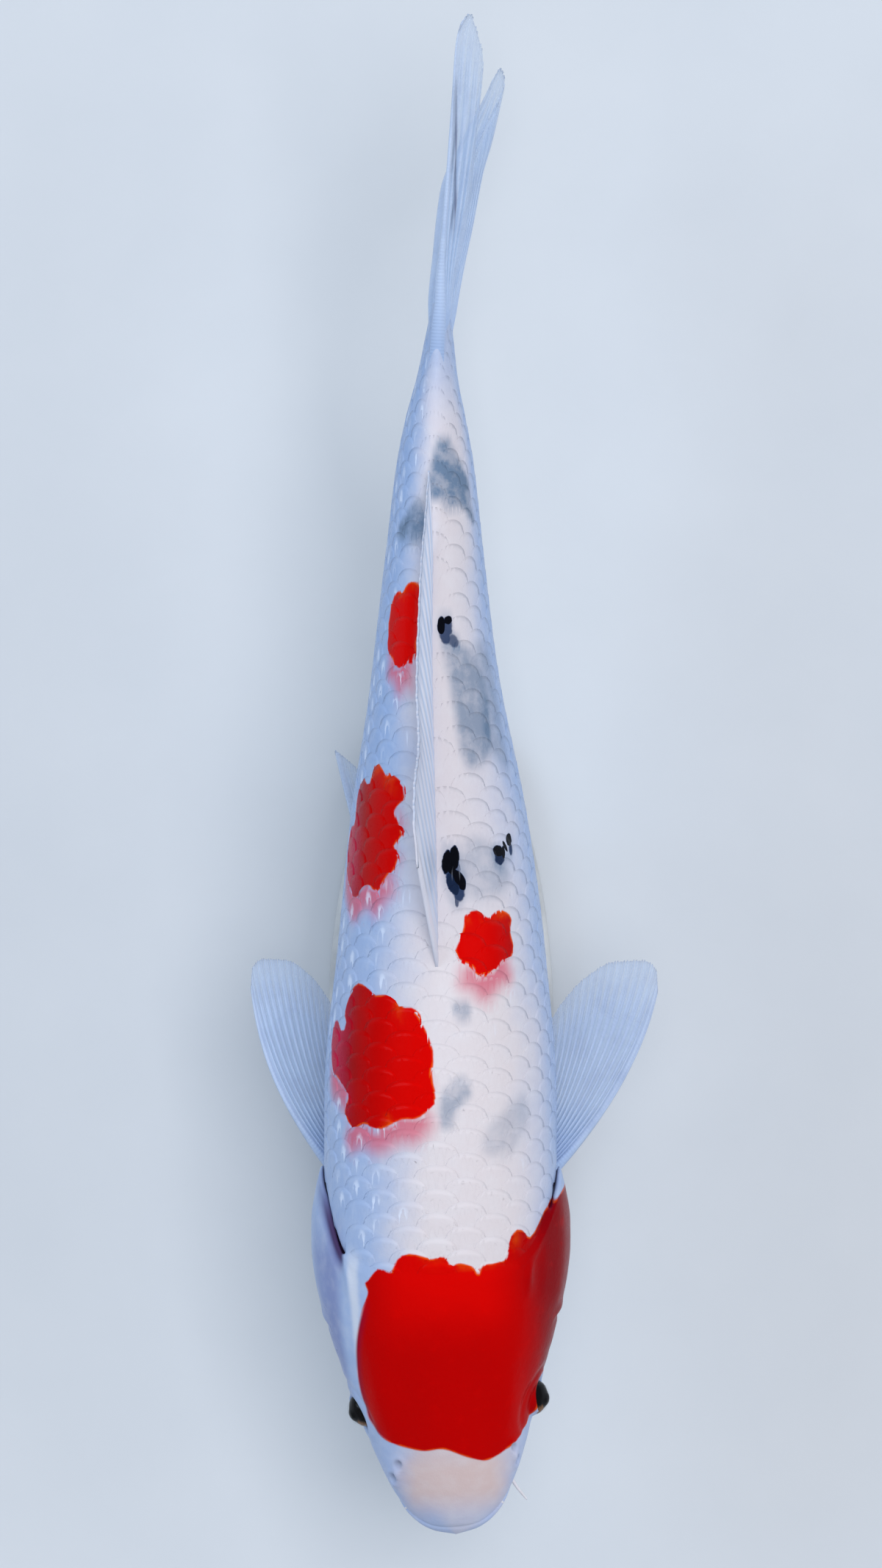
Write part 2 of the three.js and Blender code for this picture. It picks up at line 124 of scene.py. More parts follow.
def place(s, u, v):
    # a point of the fish's own frame, as a point of the row's frame
    lean = math.radians(fish["rollDegrees"])
    heading = np.arctan(swing(s + 1) - swing(s - 1)) / 2
    across = u * math.cos(lean) - v * math.sin(lean)
    rise = u * math.sin(lean) + v * math.cos(lean)
    return np.stack([
        swing(s) + across * np.cos(heading),
        fish["noseY"] + s - across * np.sin(heading),
        fish["axisHeight"] + rise,
    ], axis=-1)


def section(s, angle, grow=0.0, bulge=0.0):
    # (u, v) on the body's section; the angle runs from the back over the left flank
    sine, cosine = np.sin(angle), np.cos(angle)
    level = widestLevel(s)
    reach = np.where(cosine > 0, backLine(s) - level, level - bellyLine(s))
    power = 2 / np.where(cosine > 0, upperSquareness(s), lowerSquareness(s))
    folded = np.where(angle > math.pi, 2 * math.pi - angle, angle)
    fromCover = (folded - fish["coverAngle"]) / fish["coverSpan"]
    half = halfWidth(s) + bulge * bulgeAlong(s) * np.exp(-fromCover**2)
    u = (half + grow) * np.sign(sine) * np.abs(sine) ** power
    v = level + (reach + grow) * np.sign(cosine) * np.abs(cosine) ** power
    return u, v


# how far round the skin each angle lies, along the body
tableStep = 2.0
tableS = np.arange(0, 431, tableStep)
tableAngle = np.linspace(0, math.pi, 241)
arcTable = np.zeros((len(tableS), len(tableAngle)))
for row, station in enumerate(tableS):
    across, up = section(np.full_like(tableAngle, station), tableAngle, -fish["coatDepth"])
    arcTable[row, 1:] = np.cumsum(np.hypot(np.diff(across), np.diff(up)))


def arcAt(s, folded):
    # folded is the angle from the back, the same on both sides
    row = np.clip(s / tableStep, 0, len(tableS) - 1.001)
    column = np.clip(folded / math.pi * (len(tableAngle) - 1), 0, len(tableAngle) - 1.001)
    i, j = row.astype(int), column.astype(int)
    a, b = row - i, column - j
    low = mix(arcTable[i, j], arcTable[i, j + 1], b)
    return mix(low, mix(arcTable[i + 1, j], arcTable[i + 1, j + 1], b), a)


def angleAt(s, w):
    row = arcAt(np.full_like(tableAngle, s), tableAngle)
    return float(np.interp(abs(w), row, tableAngle))


def flankArc(s):
    return arcAt(np.asarray(s, float), np.full(np.shape(s), math.pi / 2))


def bellyArc(s):
    return arcAt(np.asarray(s, float), np.full(np.shape(s), math.pi))


# where the head ends: the nape, the gill cover's free edge and the throat, by the angle from the back
headEdge = profile([
    [0, 88], [0.4, 89], [0.75, 93], [0.93, 98], [1.1, 106], [1.33, 118], [1.6, 125.5], [1.9, 122],
    [2.2, 112], [2.5, 97], [2.75, 82], [3, 75], [3.15, 73],
])
# where the gills stand open, by the same angle: the left cover lies closed at the top
gillsOpenFrom = {"left": (1.16, 1.34), "right": (0.88, 1.0)}


def slitOpen(folded, sideName):
    return smooth(*gillsOpenFrom[sideName], folded) * (1 - smooth(2.75, 3.0, folded))


# the markings, in s and w, the same for skin and scales
patches = {
    # outlines of the red patches, run through by a smooth closed curve
    "head": [
        (30.4, 0), (27.5, 6), (25.6, 12), (27, 17), (30, 22.5), (35, 32), (40, 36), (46, 38.5),
        (52, 43), (54.5, 50), (56, 64), (72, 74), (84, 84), (98, 92), (112, 92), (120, 80), (118, 62),
        (113.5, 51), (109.5, 44.5), (105.8, 40.5), (103, 36.3), (105.6, 33.5), (106, 29.5),
        (102.6, 26.3), (96.5, 25), (94.7, 19.5), (94.2, 15.6), (91.2, 13.9), (94, 12), (95.3, 7.5),
        (94.4, 4.2), (97.4, 3.2), (97.6, 0.5), (96.9, -2.3), (98.5, -8.6), (97.2, -13.4), (92.5, -16),
        (93.6, -21), (90, -24.8), (88.6, -26.4), (85.5, -25.3), (80, -28), (72, -31), (65, -32.4),
        (55, -33), (47, -31.6), (41.8, -30.3), (36, -24), (32.5, -16.5), (30.5, -9), (31, -3),
    ],
    "saddleRight": [
        (188.4, -32), (186.5, -26.6), (184.7, -23.5), (185, -16), (180.8, -12.4), (181.2, -9.5),
        (179.4, -6.6), (173, -3), (166, -0.8), (159, -1.5), (151, 0.1), (147, -3), (144.4, -7),
        (144.1, -12), (141, -19), (141, -24), (142.3, -28), (140.4, -35), (145, -40), (149, -39.3),
        (152.5, -38.8), (158, -47), (159, -52), (167, -56), (177.2, -53), (172.8, -45), (175.5, -41.5),
        (179, -43.5), (184, -41), (188.2, -35.5),
    ],
    "islandLeft": [
        (211.2, 8.7), (213.6, 12), (213.7, 15.5), (211.6, 19), (212.6, 20.8), (214, 25), (211.6, 31.3),
        (206.6, 30.3), (202, 32), (198, 30), (197.6, 25.5), (193, 20.6), (192.4, 15), (195.5, 11.6),
        (197, 7.8), (200.4, 6.1), (205.5, 8.2), (208.8, 9.3),
    ],
    "flankRight": [
        (263.8, -25.5), (261, -21.4), (259.4, -20.2), (260.3, -17.4), (257, -12), (253, -9.7),
        (250.5, -12.5), (248, -15.3), (245.5, -14.2), (241, -11.4), (238.5, -13.5), (236, -15.5),
        (232.5, -13.7), (229.8, -14.2), (226, -18.3), (222, -22.5), (220.5, -26), (223, -30),
        (221.5, -34.5), (219.5, -38), (219.6, -43.5), (225, -50.5), (231, -57), (237, -57.5),
        (242.6, -53), (244, -45.6), (252, -45.2), (257, -42.5), (259.4, -38.6), (257, -34.5),
        (257.6, -30.2), (262.8, -28.6),
    ],
    "rearRight": [
        (325, -5), (322.8, -3), (319, -4), (315.5, -3.6), (312, -4.8), (308, -4.4), (304.5, -5.4),
        (300.5, -5.2), (297, -6.6), (297.6, -9.4), (295.2, -11.8), (296, -15.4), (300, -17.2),
        (300.6, -20), (304, -21.8), (308, -21), (310.5, -21.8), (314, -20.2), (317.5, -19.8),
        (320.4, -17.6), (322.6, -15), (321.4, -12), (324.4, -9.8),
    ],
}
inkSpots = [
    # small black and slate blue marks: s, w, half length, half width, degrees turned, strength
    (230.6, 3.8, 3.9, 1.7, 8, 1), (232, 6.5, 4, 1.7, 0, 1), (228.6, 5.2, 2.6, 1.5, -20, 1),
    (224.9, 8, 3.5, 1.8, -34, 1), (223.2, 9, 2.4, 1.4, -10, 1), (223.2, 5.7, 4.2, 2, -22, 0.8),
    (220.2, 7.9, 3.2, 2.1, 0, 0.65), (217.6, 7, 2.6, 0.8, 0, 0.55), (228, 7.6, 2.6, 1, 0, 0.5),
    (233.7, 25.9, 1.9, 3, 6, 1), (233.2, 28.9, 2.2, 1.1, 0, 1), (231.2, 26.4, 2.3, 3, 0, 0.75),
    (235.2, 30.3, 2.3, 0.8, -40, 1), (237.4, 33.4, 2.1, 2.1, 0, 1), (234.2, 34.2, 2.4, 1.4, 0, 0.65),
    (310.2, 3.4, 3.2, 1.4, 0, 1), (312, 5.9, 1.4, 1.6, -20, 1), (309.4, 5.4, 4, 2.4, 0, 0.6),
    (306.6, 4.8, 3.2, 2.2, -20, 0.6), (305, 8, 3, 2.2, -50, 0.5),
]
ghosts = [
    # grey that lies under the white: strength, softness and outline
    (0.95, 1.6, [
        (371, 0.7), (373, 2.5), (372.5, 6.5), (368, 10), (363, 15), (359, 18.5), (353, 19.5),
        (349, 22), (345, 23.5), (347, 19), (350.5, 12), (350.7, 5), (354, 0), (354, -2), (360, -1.8),
        (366, -0.3),
    ]),
    (0.9, 1.6, [
        (353.5, -4.3), (351, -8.5), (348, -11), (344, -16), (341, -17), (338.8, -11), (338.7, -3),
        (346, -2),
    ]),
    (0.68, 2.6, [
        (304, 4), (297, 5), (290, 6.5), (281, 8), (268, 10), (262, 14), (266, 24), (284, 27),
        (298, 22), (303, 13),
    ]),
    (0.5, 4, [
        (303, 20), (290, 26), (270, 24), (262, 40), (300, 34),
    ]),
    (0.4, 3, [
        (237, 10), (237, 20), (231, 31), (222, 31), (218, 20), (220, 10),
    ]),
    (0.5, 1.5, [
        (183.6, 6.2), (183, 11), (179, 11.6), (177.4, 8.5), (180, 5.6),
    ]),
    (0.55, 1.6, [
        (156.5, 5), (157.8, 10), (153, 12), (149, 9), (145.5, 6), (141, 5.5), (142, 1.5), (150, 1.2),
    ]),
    (0.32, 3, [
        (152, 35), (146, 24), (140, 18), (133, 17), (132, 27), (138, 33), (144, 38),
    ]),
    (0.4, 1.6, [
        (236, 2.6), (230, 1.6), (222, 2.6), (215.4, 5.6), (217, 9.6), (224, 11), (230, 9),
        (235.6, 8.4),
    ]),
    (0.45, 1.8, [
        (234.5, 23), (229, 23.6), (226.8, 27), (229.5, 31), (232.5, 35.5), (238, 36), (235, 30),
    ]),
    (0.5, 1.6, [
        (312.5, 2.6), (313, 7), (308, 8), (304, 11), (301, 9), (302.5, 5), (307, 2.4),
    ]),
]
# orange that glows at a red patch's edge: s, w, half length, half width
glows = [
    (213.5, 12.5, 2.6, 5), (213.5, 25, 1.8, 5), (259.5, -17, 3, 3.5), (262.8, -26, 2, 3),
    (181.2, -13, 2, 1.8), (142, -16.5, 2.2, 2), (103.5, 28, 3.4, 2.6), (95, 10, 1.4, 8),
    (97.7, 0.5, 1.2, 4), (324.2, -6, 1.5, 4), (321.8, -14, 1.4, 3),
]
marking = {
    "reach": 14,  # how far from a patch its field is worked out
    "keyShare": (0.08, 0.34),  # how far a scale's own middle sets where its red ends, at the nape and behind
    "keyAlong": (118, 150),
    "blushAhead": 9.5,  # how far ahead of a patch its red shows through
    "blushAlong": (110, 130),
    "free": 3.0,  # a scale's key point lies this far behind its middle, on its free part
}


def throughPoints(p0, p1, p2, p3, t):
    # the smooth curve from p1 to p2
    bend = 2 * p0 - 5 * p1 + 4 * p2 - p3
    return 0.5 * (2 * p1 + (p2 - p0) * t + bend * t**2 + (3 * p1 - p0 - 3 * p2 + p3) * t**3)


def closedCurve(points, count=7):
    points = np.array(points, float)
    share = (np.arange(count) / count)[None, :, None]
    corners = (np.roll(points, -k, axis=0)[:, None, :] for k in (-1, 0, 1, 2))
    return throughPoints(*corners, share).reshape(-1, 2)


def signedDistance(s, w, outline):
    # in millimetres, positive inside
    at = np.stack([s, w], axis=-1).reshape(-1, 1, 2)
    start, end = outline[None], np.roll(outline, -1, axis=0)[None]
    edge = end - start
    share = np.clip(((at - start) * edge).sum(-1) / (edge**2).sum(-1), 0, 1)
    distance = np.linalg.norm(at - start - share[..., None] * edge, axis=-1).min(axis=1)
    above = (start[..., 1] > at[..., 1]) != (end[..., 1] > at[..., 1])
    steep = np.where(edge[..., 1] == 0, 1, edge[..., 1])
    crossing = start[..., 0] + (at[..., 1] - start[..., 1]) * edge[..., 0] / steep
    inside = (above & (at[..., 0] < crossing)).sum(axis=1) % 2
    return (np.where(inside, 1, -1) * distance).reshape(np.shape(s))


def fieldOf(s, w, points, reach):
    # the distance inside one outline, worked out only where it lies near
    outline = closedCurve(points)
    low, high = outline.min(axis=0) - reach, outline.max(axis=0) + reach
    near = (s > low[0]) & (s < high[0]) & (w > low[1]) & (w < high[1])
    field = np.full(np.shape(s), -99.0)
    field[near] = signedDistance(s[near], w[near], outline)
    return field


def redField(s, w):
    return np.max([fieldOf(s, w, points, marking["reach"]) for points in patches.values()], axis=0)


def ghostField(s, w):
    # past 1 the grey turns to black
    return np.sum([
        strength * smooth(-soft, soft, fieldOf(s, w, points, soft)) for strength, soft, points in ghosts
    ], axis=0)


def glowField(s, w):
    spots = [hump(s - at, long) * hump(w - across, wide) for at, across, long, wide in glows]
    return np.max(spots, axis=0)


def writeFloat(mesh, name, values):
    layer = mesh.attributes.new(name, "FLOAT", "POINT")
    layer.data.foreach_set("value", np.ascontiguousarray(values, np.float32).ravel())


def writeMarkings(mesh, s, w, keyS=None, keyW=None):
    # a scale takes a little of its colour from its own middle, so that each patch ends in whole scales
    red = redField(s, w)
    # ahead of a patch its red shows through the white scales that lap over it
    ahead = marking["blushAhead"]
    blush = redField(s + ahead, w)
    if keyS is not None:
        share = mix(*marking["keyShare"], smooth(*marking["keyAlong"], s))
        red = red + share * np.clip(redField(keyS, keyW), -2.5, 2.5)
        blush = blush + 0.2 * np.clip(redField(keyS + ahead, keyW), -3, 3)
    blush = smooth(-3, 6, blush) * smooth(*marking["blushAlong"], s) * smooth(-0.2, 0.6, -red)
    layers = {
        "red": red,
        "blush": blush,
        "ghost": ghostField(s, w),
        "glow": glowField(s, w),
        "along": s,
        "round": w,
        "lie": w / flankArc(s),  # -1 and 1 at the middle of the right and left flank
    }
    for name, values in layers.items():
        writeFloat(mesh, name, values)


class Wire:
    # one output socket, on which sums are written as sums
    def __init__(self, graph, socket):
        self.graph, self.socket = graph, socket

    def sum(self, operation, *values):
        return self.graph.node("ShaderNodeMath", dict(enumerate(values)), operation=operation)

    def __add__(self, other):
        return self.sum("ADD", self, other)

    def __radd__(self, other):
        return self.sum("ADD", other, self)

    def __sub__(self, other):
        return self.sum("SUBTRACT", self, other)

    def __rsub__(self, other):
        return self.sum("SUBTRACT", other, self)

    def __mul__(self, other):
        return self.sum("MULTIPLY", self, other)

    def __rmul__(self, other):
        return self.sum("MULTIPLY", other, self)

    def __truediv__(self, other):
        return self.sum("DIVIDE", self, other)

    def __pow__(self, other):
        return self.sum("POWER", self, other)

    def turnedFrom(self, other, degrees):
        # this and another coordinate, turned by an angle
        c, d = math.cos(math.radians(degrees)), math.sin(math.radians(degrees))
        return self * c + other * d, other * c - self * d

    def absolute(self):
        return self.sum("ABSOLUTE", self)

    def atLeast(self, other):
        return self.sum("MAXIMUM", self, other)

    def sine(self):
        return self.sum("SINE", self)


class Graph:
    def __init__(self, tree):
        self.tree = tree

    def node(self, kind, values=None, out=0, **settings):
        # kind, the values or links of its sockets, the output that is wanted, and the node's settings
        node = self.tree.nodes.new(kind)
        for name, value in settings.items():
            setattr(node, name, value)
        for name, value in (values or {}).items():
            socket = node.inputs[name]
            if isinstance(value, Wire):
                self.tree.links.new(value.socket, socket)
            else:
                socket.default_value = value
        return None if out is None else Wire(self, node.outputs[out])

    def outputs(self, wire, *names):
        # more outputs of the node that a wire comes from
        return [Wire(self, wire.socket.node.outputs[name]) for name in names]

    def link(self, wire, node, name):
        self.tree.links.new(wire.socket, node.inputs[name])

    def attribute(self, name):
        return self.node("ShaderNodeAttribute", out=2, attribute_name=name)

    def objectPoint(self, scale=(1, 1, 1)):
        point = self.node("ShaderNodeTexCoord", out=3)
        return self.node("ShaderNodeMapping", {"Vector": point, "Scale": scale})

    def noise(self, size, detail=3, rough=0.5, stretch=(1, 1, 1)):
        # size is the blobs' size in millimetres
        return self.node("ShaderNodeTexNoise", {
            "Vector": self.objectPoint(stretch), "Scale": 1000 / size, "Detail": detail, "Roughness": rough,
        })

    def smooth(self, value, low, high):
        values = {"Value": value, "From Min": low, "From Max": high}
        return self.node("ShaderNodeMapRange", values, interpolation_type="SMOOTHSTEP")

    def mix(self, share, one, other):
        paint = [colour if isinstance(colour, Wire) else (*colour, 1) for colour in (one, other)]
        values = {0: share, 6: paint[0], 7: paint[1]}
        return self.node("ShaderNodeMix", values, out=2, data_type="RGBA", clamp_factor=True)

    def bump(self, height, distance, strength=1.0):
        values = {"Height": height, "Distance": distance * metre, "Strength": strength}
        return self.node("ShaderNodeBump", values)


def colour(red, green, blue):
    # a screen colour, 0 to 255, as light
    return tuple(
        ((c / 255 + 0.055) / 1.055) ** 2.4 if c > 10 else c / 255 / 12.92 for c in (red, green, blue)
    )


def finish(name, build, constants):
    # constants are set on the shader's own sockets, what build returns is linked to them
    material = bpy.data.materials.new(name)
    material.use_nodes = True
    graph = Graph(material.node_tree)
    shader = material.node_tree.nodes["Principled BSDF"]
    for socket, value in constants.items():
        shader.inputs[socket].default_value = value
    for socket, wire in build(graph).items():
        graph.link(wire, shader, socket)
    return material


koiColours = {
    "spine": colour(212, 204, 208),
    # flank and snoutRim: the white under painted blue light from the sides
    "flank": colour(158, 178, 214),
    "rear": colour(148, 172, 212),
    "belly": colour(218, 221, 228),
    "warm": colour(206, 198, 202),
    "snout": colour(204, 182, 180),
    "snoutRim": colour(168, 182, 216),
    # cover: painted shade on the cheeks
    "cover": colour(122, 132, 178),
    "red": colour(180, 0, 0),
    # redBright is red under painted light; redShaded, plum and crimson are red under painted shade and blue
    # light
    "redBright": colour(206, 2, 0),
    "redShaded": colour(128, 0, 8),
    "plum": colour(140, 8, 42),
    "crimson": colour(186, 22, 66),
    "orange": colour(222, 84, 12),
    "blush": colour(200, 90, 112),
    "ghost": colour(104, 124, 150),
    "slate": colour(34, 52, 86),
    "ink": colour(8, 9, 16),
    # painted shade: gillShade is a dark flesh tone, the gills' own inside darkened as painted shade and a
    # painted shadow beside the gap; shade lies towards the open gills, dark in the head's hollows
    "gillShade": colour(66, 46, 84),
    "shade": colour(84, 88, 138),
    "dark": colour(20, 14, 24),
    "glint": colour(226, 236, 255),
    # painted shadow of a fold on the tail
    "foldShadow": colour(52, 62, 104),
    "fin": colour(168, 196, 232),
    "finRay": colour(204, 216, 240),
}


koiZones = {
    # where a colour begins and where it is full: s along, w round, and lie as a share of the flank
    "rightFlank": (-0.02, -0.4),
    "leftFlank": (0.3, 0.95),
    "belly": (1.0, 1.5),
    "rear": (200, 300),
    "stalk": (376, 408),
    "warmFrom": (205, 250),
    "warmTo": (400, 350),
    "warmNear": (-4, 4),
    "warmFar": (24, 7),
    "snout": (44, 22),
    "snoutMiddle": (26, 12),
    "snoutTip": (3, 17),
    "cheekFrom": (40, 66),
    "cheekTo": (116, 92),
    "cheekNear": (36, 44),
    "cheekFar": (72, 46),
    "ribFrom": (52, 74),
    "ribTo": (103, 92),
    "redSide": (24, 50),
    "crown": (60, 86),
    "crownMiddle": (32, 12),
    "lowSide": (-32, -50),
    "lowFrom": (125, 135),
    "softSide": (-20, -30),
    "softTo": (84, 76),
}


def zone(graph, value, name):
    return graph.smooth(value, *koiZones[name])


def whitePaint(graph, along, across, lie, mottle, fine):
    # warm on the back, blue on the flanks and towards the tail, bare skin on the snout and the cheeks; the
    # flanks' blue is painted blue light from the sides, reaching nearer the back on the right flank, the
    # snout's blue rim is painted blue light too, and the cheeks take painted shade
    c = koiColours
    loose = mottle - 0.5
    uneven = loose * 0.3
    # painted blue light from the sides, reaching nearer the back on the right flank
    side = zone(graph, lie + uneven, "rightFlank") + zone(graph, lie + uneven, "leftFlank")
    white = graph.mix(side, c["spine"], c["flank"])
    rear = zone(graph, along + mottle * 60, "rear")
    white = graph.mix(rear * (side * 0.75 + 0.2), white, c["rear"])
    drift = across + loose * 10
    warm = zone(graph, drift, "warmNear") * zone(graph, drift, "warmFar") * zone(graph, along, "warmFrom")
    white = graph.mix(warm * zone(graph, along, "warmTo") * 0.8, white, c["warm"])
    white = graph.mix(zone(graph, along, "stalk") * 0.7, white, c["rear"])
    far = across.absolute()
    white = graph.mix(zone(graph, lie.absolute() + uneven, "belly"), white, c["belly"])
    # painted blue light on the snout's sides, its middle keeps the skin's own pinkish tone
    snout = zone(graph, along + loose * 8, "snout")
    white = graph.mix(snout * 0.6, white, c["snoutRim"])
    fromMiddle = (across - 2).absolute() + loose * 12
    middle = zone(graph, fromMiddle, "snoutMiddle") * zone(graph, along, "snoutTip")
    white = graph.mix(snout * middle * 0.95, white, c["snout"])
    # painted purple-grey shade on the cheeks
    cheek = zone(graph, far, "cheekNear") * zone(graph, far + loose * 16, "cheekFar")
    cheek = cheek * zone(graph, along, "cheekTo") * zone(graph, along, "cheekFrom")
    white = graph.mix(cheek * 0.8, white, c["cover"])
    # a painted highlight lies on the rib that runs forwards from the gills
    fromRib = (across + 32.5 + (along - 98) * 0.06).absolute() + loose * 3
    ribHighlight = graph.smooth(fromRib, 3.4, 0.6) * zone(graph, along, "ribFrom") * zone(graph, along, "ribTo")
    white = graph.mix(ribHighlight * 0.6, white, c["belly"])
    return graph.mix(graph.smooth(fine, 0.35, 0.8) * 0.16, white, c["belly"])


def redPaint(graph, along, across, red, soft, mottle, fine):
    # painted shade darkens it down the sides and painted light brightens the crown; painted blue light tints
    # it crimson low on the right flank and plum by the soft edge down the right of the head; orange where the
    # scales are thin
    c = koiColours
    loose = mottle - 0.5
    # painted shade down the sides
    hue = graph.mix(zone(graph, across.absolute() + loose * 14, "redSide"), c["red"], c["redShaded"])
    # painted light on the crown
    crown = zone(graph, along + loose * 12, "crown") * zone(graph, (across - 2).absolute(), "crownMiddle")
    hue = graph.mix(crown + graph.smooth(fine, 0.55, 0.8) * 0.2, hue, c["redBright"])
    hue = graph.mix(graph.attribute("glow") * graph.smooth(fine, 0.3, 0.65) * 0.6, hue, c["orange"])
    # painted blue light low on the right flank
    low = zone(graph, across + loose * 12, "lowSide") * zone(graph, along, "lowFrom")
    hue = graph.mix(low * 0.85, hue, c["crimson"])
    # painted blue light by the soft edge down the right of the head
    hue = graph.mix(soft * graph.smooth(red, 4.5, 0), hue, c["plum"])
    edge = graph.smooth((red - 0.3).absolute(), 0.45, 0.1) * graph.smooth(fine, 0.4, 0.62)
    return graph.mix(edge * 0.7, hue, c["orange"])


def inkMask(graph, along, across):
    # small ovals with ragged edges, the stronger ones sharper
    ragged = (graph.noise(1.6, 3) - 0.5) * 0.8
    ink = 0.0
    for s, w, long, wide, turn, strength in inkSpots:
        a, b = (along - s).turnedFrom(across - w, turn)
        spot = (a * a) * (1 / long**2) + (b * b) * (1 / wide**2)
        spot = graph.smooth(spot + ragged, 1.25, mix(0.1, 0.75, strength)) * strength
        ink = spot.atLeast(ink)
    return ink


def koiPaint(graph):
    # the colours that skin and scales share
    c = koiColours
    along, across, lie, red = (graph.attribute(name) for name in ("along", "round", "lie", "red"))
    mottle = graph.noise(22, 4, 0.6)
    fine = graph.noise(5, 3)
    base = whitePaint(graph, along, across, lie, mottle, fine)
    # past 1 the grey under the white turns to black
    cloud = graph.noise(8, 4, 0.65) + (fine - 0.5) * 0.3
    ghost = graph.attribute("ghost") * (0.68 + 0.45 * graph.smooth(cloud, 0.3, 0.62))
    base = graph.mix(ghost, base, c["ghost"])
    base = graph.mix(graph.smooth(ghost, 1.0, 1.8) * 0.75, base, c["ink"])
    base = graph.mix(graph.attribute("blush") * 0.85, base, c["blush"])
    # the red has a sharp edge, except down the right of the head
    soft = zone(graph, across, "softSide") * zone(graph, along, "softTo")
    sharp = graph.smooth(red + (fine - 0.5) * 0.6, -0.35, 0.35)
    mask = sharp * (1 - soft) + graph.smooth(red, -0.5, 1.2) * soft
    base = graph.mix(mask, base, redPaint(graph, along, across, red, soft, mottle, fine))
    ink = inkMask(graph, along, across)
    dark = graph.mix(graph.smooth(ink, 0.6, 0.98), c["slate"], c["ink"])
    return graph.mix(graph.smooth(ink, 0.02, 0.72), base, dark)


def skinBuild(graph):
    base = koiPaint(graph)
    # painted shade at the gills and in the hollows of the head
    for name in ("shade", "gillShade", "dark"):
        base = graph.mix(graph.attribute(name), base, koiColours[name])
    pores = graph.noise(0.9, 2)
    folds = graph.noise(4.5, 4, 0.6)
    return {
        "Base Color": base,
        "Roughness": 0.3 + (folds - 0.5) * 0.16,
        "Normal": graph.bump(pores * 0.35 + folds, 0.35, 0.5),
    }


glintForm = {
    "at": 0.72,  # how far it lies from a scale's root to its free edge
    "long": 0.17,
    "wide": 0.26,
    "strength": 0.62,
    "share": (0.1, 0.75),  # how many scales have one, on the left and more on the right flank
}


def scaleBuild(graph):
    form = glintForm
    base = koiPaint(graph)
    back = graph.attribute("back")  # 0 at a scale's root, 1 at its free edge
    pearl = graph.attribute("pearl")  # a random number for each scale
    plain = graph.smooth(graph.attribute("red"), 0.2, -0.4)
    # a soft glint near the free edge of some scales
    lie, noise = graph.attribute("lie"), graph.noise(1.8, 2)
    few, more = form["share"]
    lit = graph.smooth(lie, -0.1, -0.24) * graph.smooth(lie, -1.0, -0.7) * more + few
    off = graph.attribute("side") + (pearl * 57).sine() * 0.3
    spot = ((back - form["at"]) / form["long"]) ** 2 + (off / form["wide"]) ** 2
    some = graph.smooth(lit - (pearl * 31).sine().absolute(), -0.06, 0.4)
    glint = graph.smooth(spot + (noise - 0.5) * 1.4, 1.5, -0.3) * some
    base = graph.mix(glint * plain * form["strength"], base, koiColours["glint"])
    rings = (back * 90).sine() * 0.5 + 0.5
    return {
        "Base Color": base,
        "Roughness": 0.29 + (noise - 0.5) * 0.14,
        "Normal": graph.bump(rings * 0.12 + noise, 0.1, 0.4),
    }


def finBuild(graph):
    ray, out, foldShadow, folded = (graph.attribute(name) for name in ("ray", "out", "foldShadow", "folded"))
    joints = (graph.attribute("reach") * 5.2).sine() * 0.5 + 0.5
    cloud = graph.noise(9, 3)
    base = graph.mix(ray * 0.6 + 0.1, koiColours["fin"], koiColours["finRay"])
    root = graph.smooth(out + (cloud - 0.5) * 0.2, 0.34, 0.06)
    base = graph.mix(root * 0.85, base, koiColours["rear"])
    base = graph.mix(graph.smooth(cloud, 0.4, 0.7) * 0.35, base, koiColours["flank"])
    base = graph.mix(folded * (ray * 0.4 + 0.3), base, koiColours["spine"])
    # painted shadow where the tail's folds lie over each other
    base = graph.mix(foldShadow * 0.85, base, koiColours["foldShadow"])
    # rays, the folded fin, the painted fold shadow and the root are denser than the film, which is thinnest
    # at the margin
    dense = 0.42 + foldShadow * 0.4 + folded * 0.4 + ray * 0.26
    dense = dense + graph.smooth(out, 0.4, 0.02) * 0.5 - graph.smooth(out, 0.7, 1.0) * 0.16
    return {
        "Base Color": base,
        "Alpha": graph.smooth(dense, 0.0, 1.0),
        "Roughness": 0.34 + cloud * 0.12,
        "Normal": graph.bump(joints * ray * (1 - folded), 0.12, 0.6),
    }


eyeColours = {
    "pupil": colour(4, 4, 5),
    "gold": colour(150, 104, 62),
    "brown": colour(38, 20, 14),
    "black": colour(7, 6, 7),
    "rim": colour(16, 15, 18),
    "white": colour(150, 156, 172),
    "clear": colour(6, 7, 10),
    # painted blue reflection towards the cornea's rim
    "rimReflection": colour(40, 52, 76),
    "film": colour(20, 26, 36),
}


def eyeBuild(graph):
    # polar is 0 at the middle of the pupil and 1 a quarter turn away, high is above the axis and behind it
    c = eyeColours
    polar, high = graph.attribute("polar"), graph.attribute("high")
    streaks = graph.noise(0.9, 3)
    gold = graph.mix(streaks, c["brown"], c["gold"])
    iris = graph.mix(graph.smooth(high + (streaks - 0.5) * 0.4, -0.4, -0.05), gold, c["black"])
    base = graph.mix(graph.smooth(polar, 0.34, 0.37), c["pupil"], iris)
    base = graph.mix(graph.smooth(polar, 0.74, 0.8), base, c["rim"])
    base = graph.mix(graph.smooth(polar, 1.0, 1.06), base, c["white"])
    return {"Base Color": base, "Roughness": 0.12 + streaks * 0.1}


def corneaBuild(graph):
    c = eyeColours
    film = graph.noise(4, 2)
    # painted blue reflection towards the cornea's rim
    base = graph.mix(graph.smooth(graph.attribute("polar"), 0.6, 1.1), c["clear"], c["rimReflection"])
    return {"Base Color": graph.mix(film * 0.2, base, c["film"]), "Roughness": 0.03 + film * 0.02}


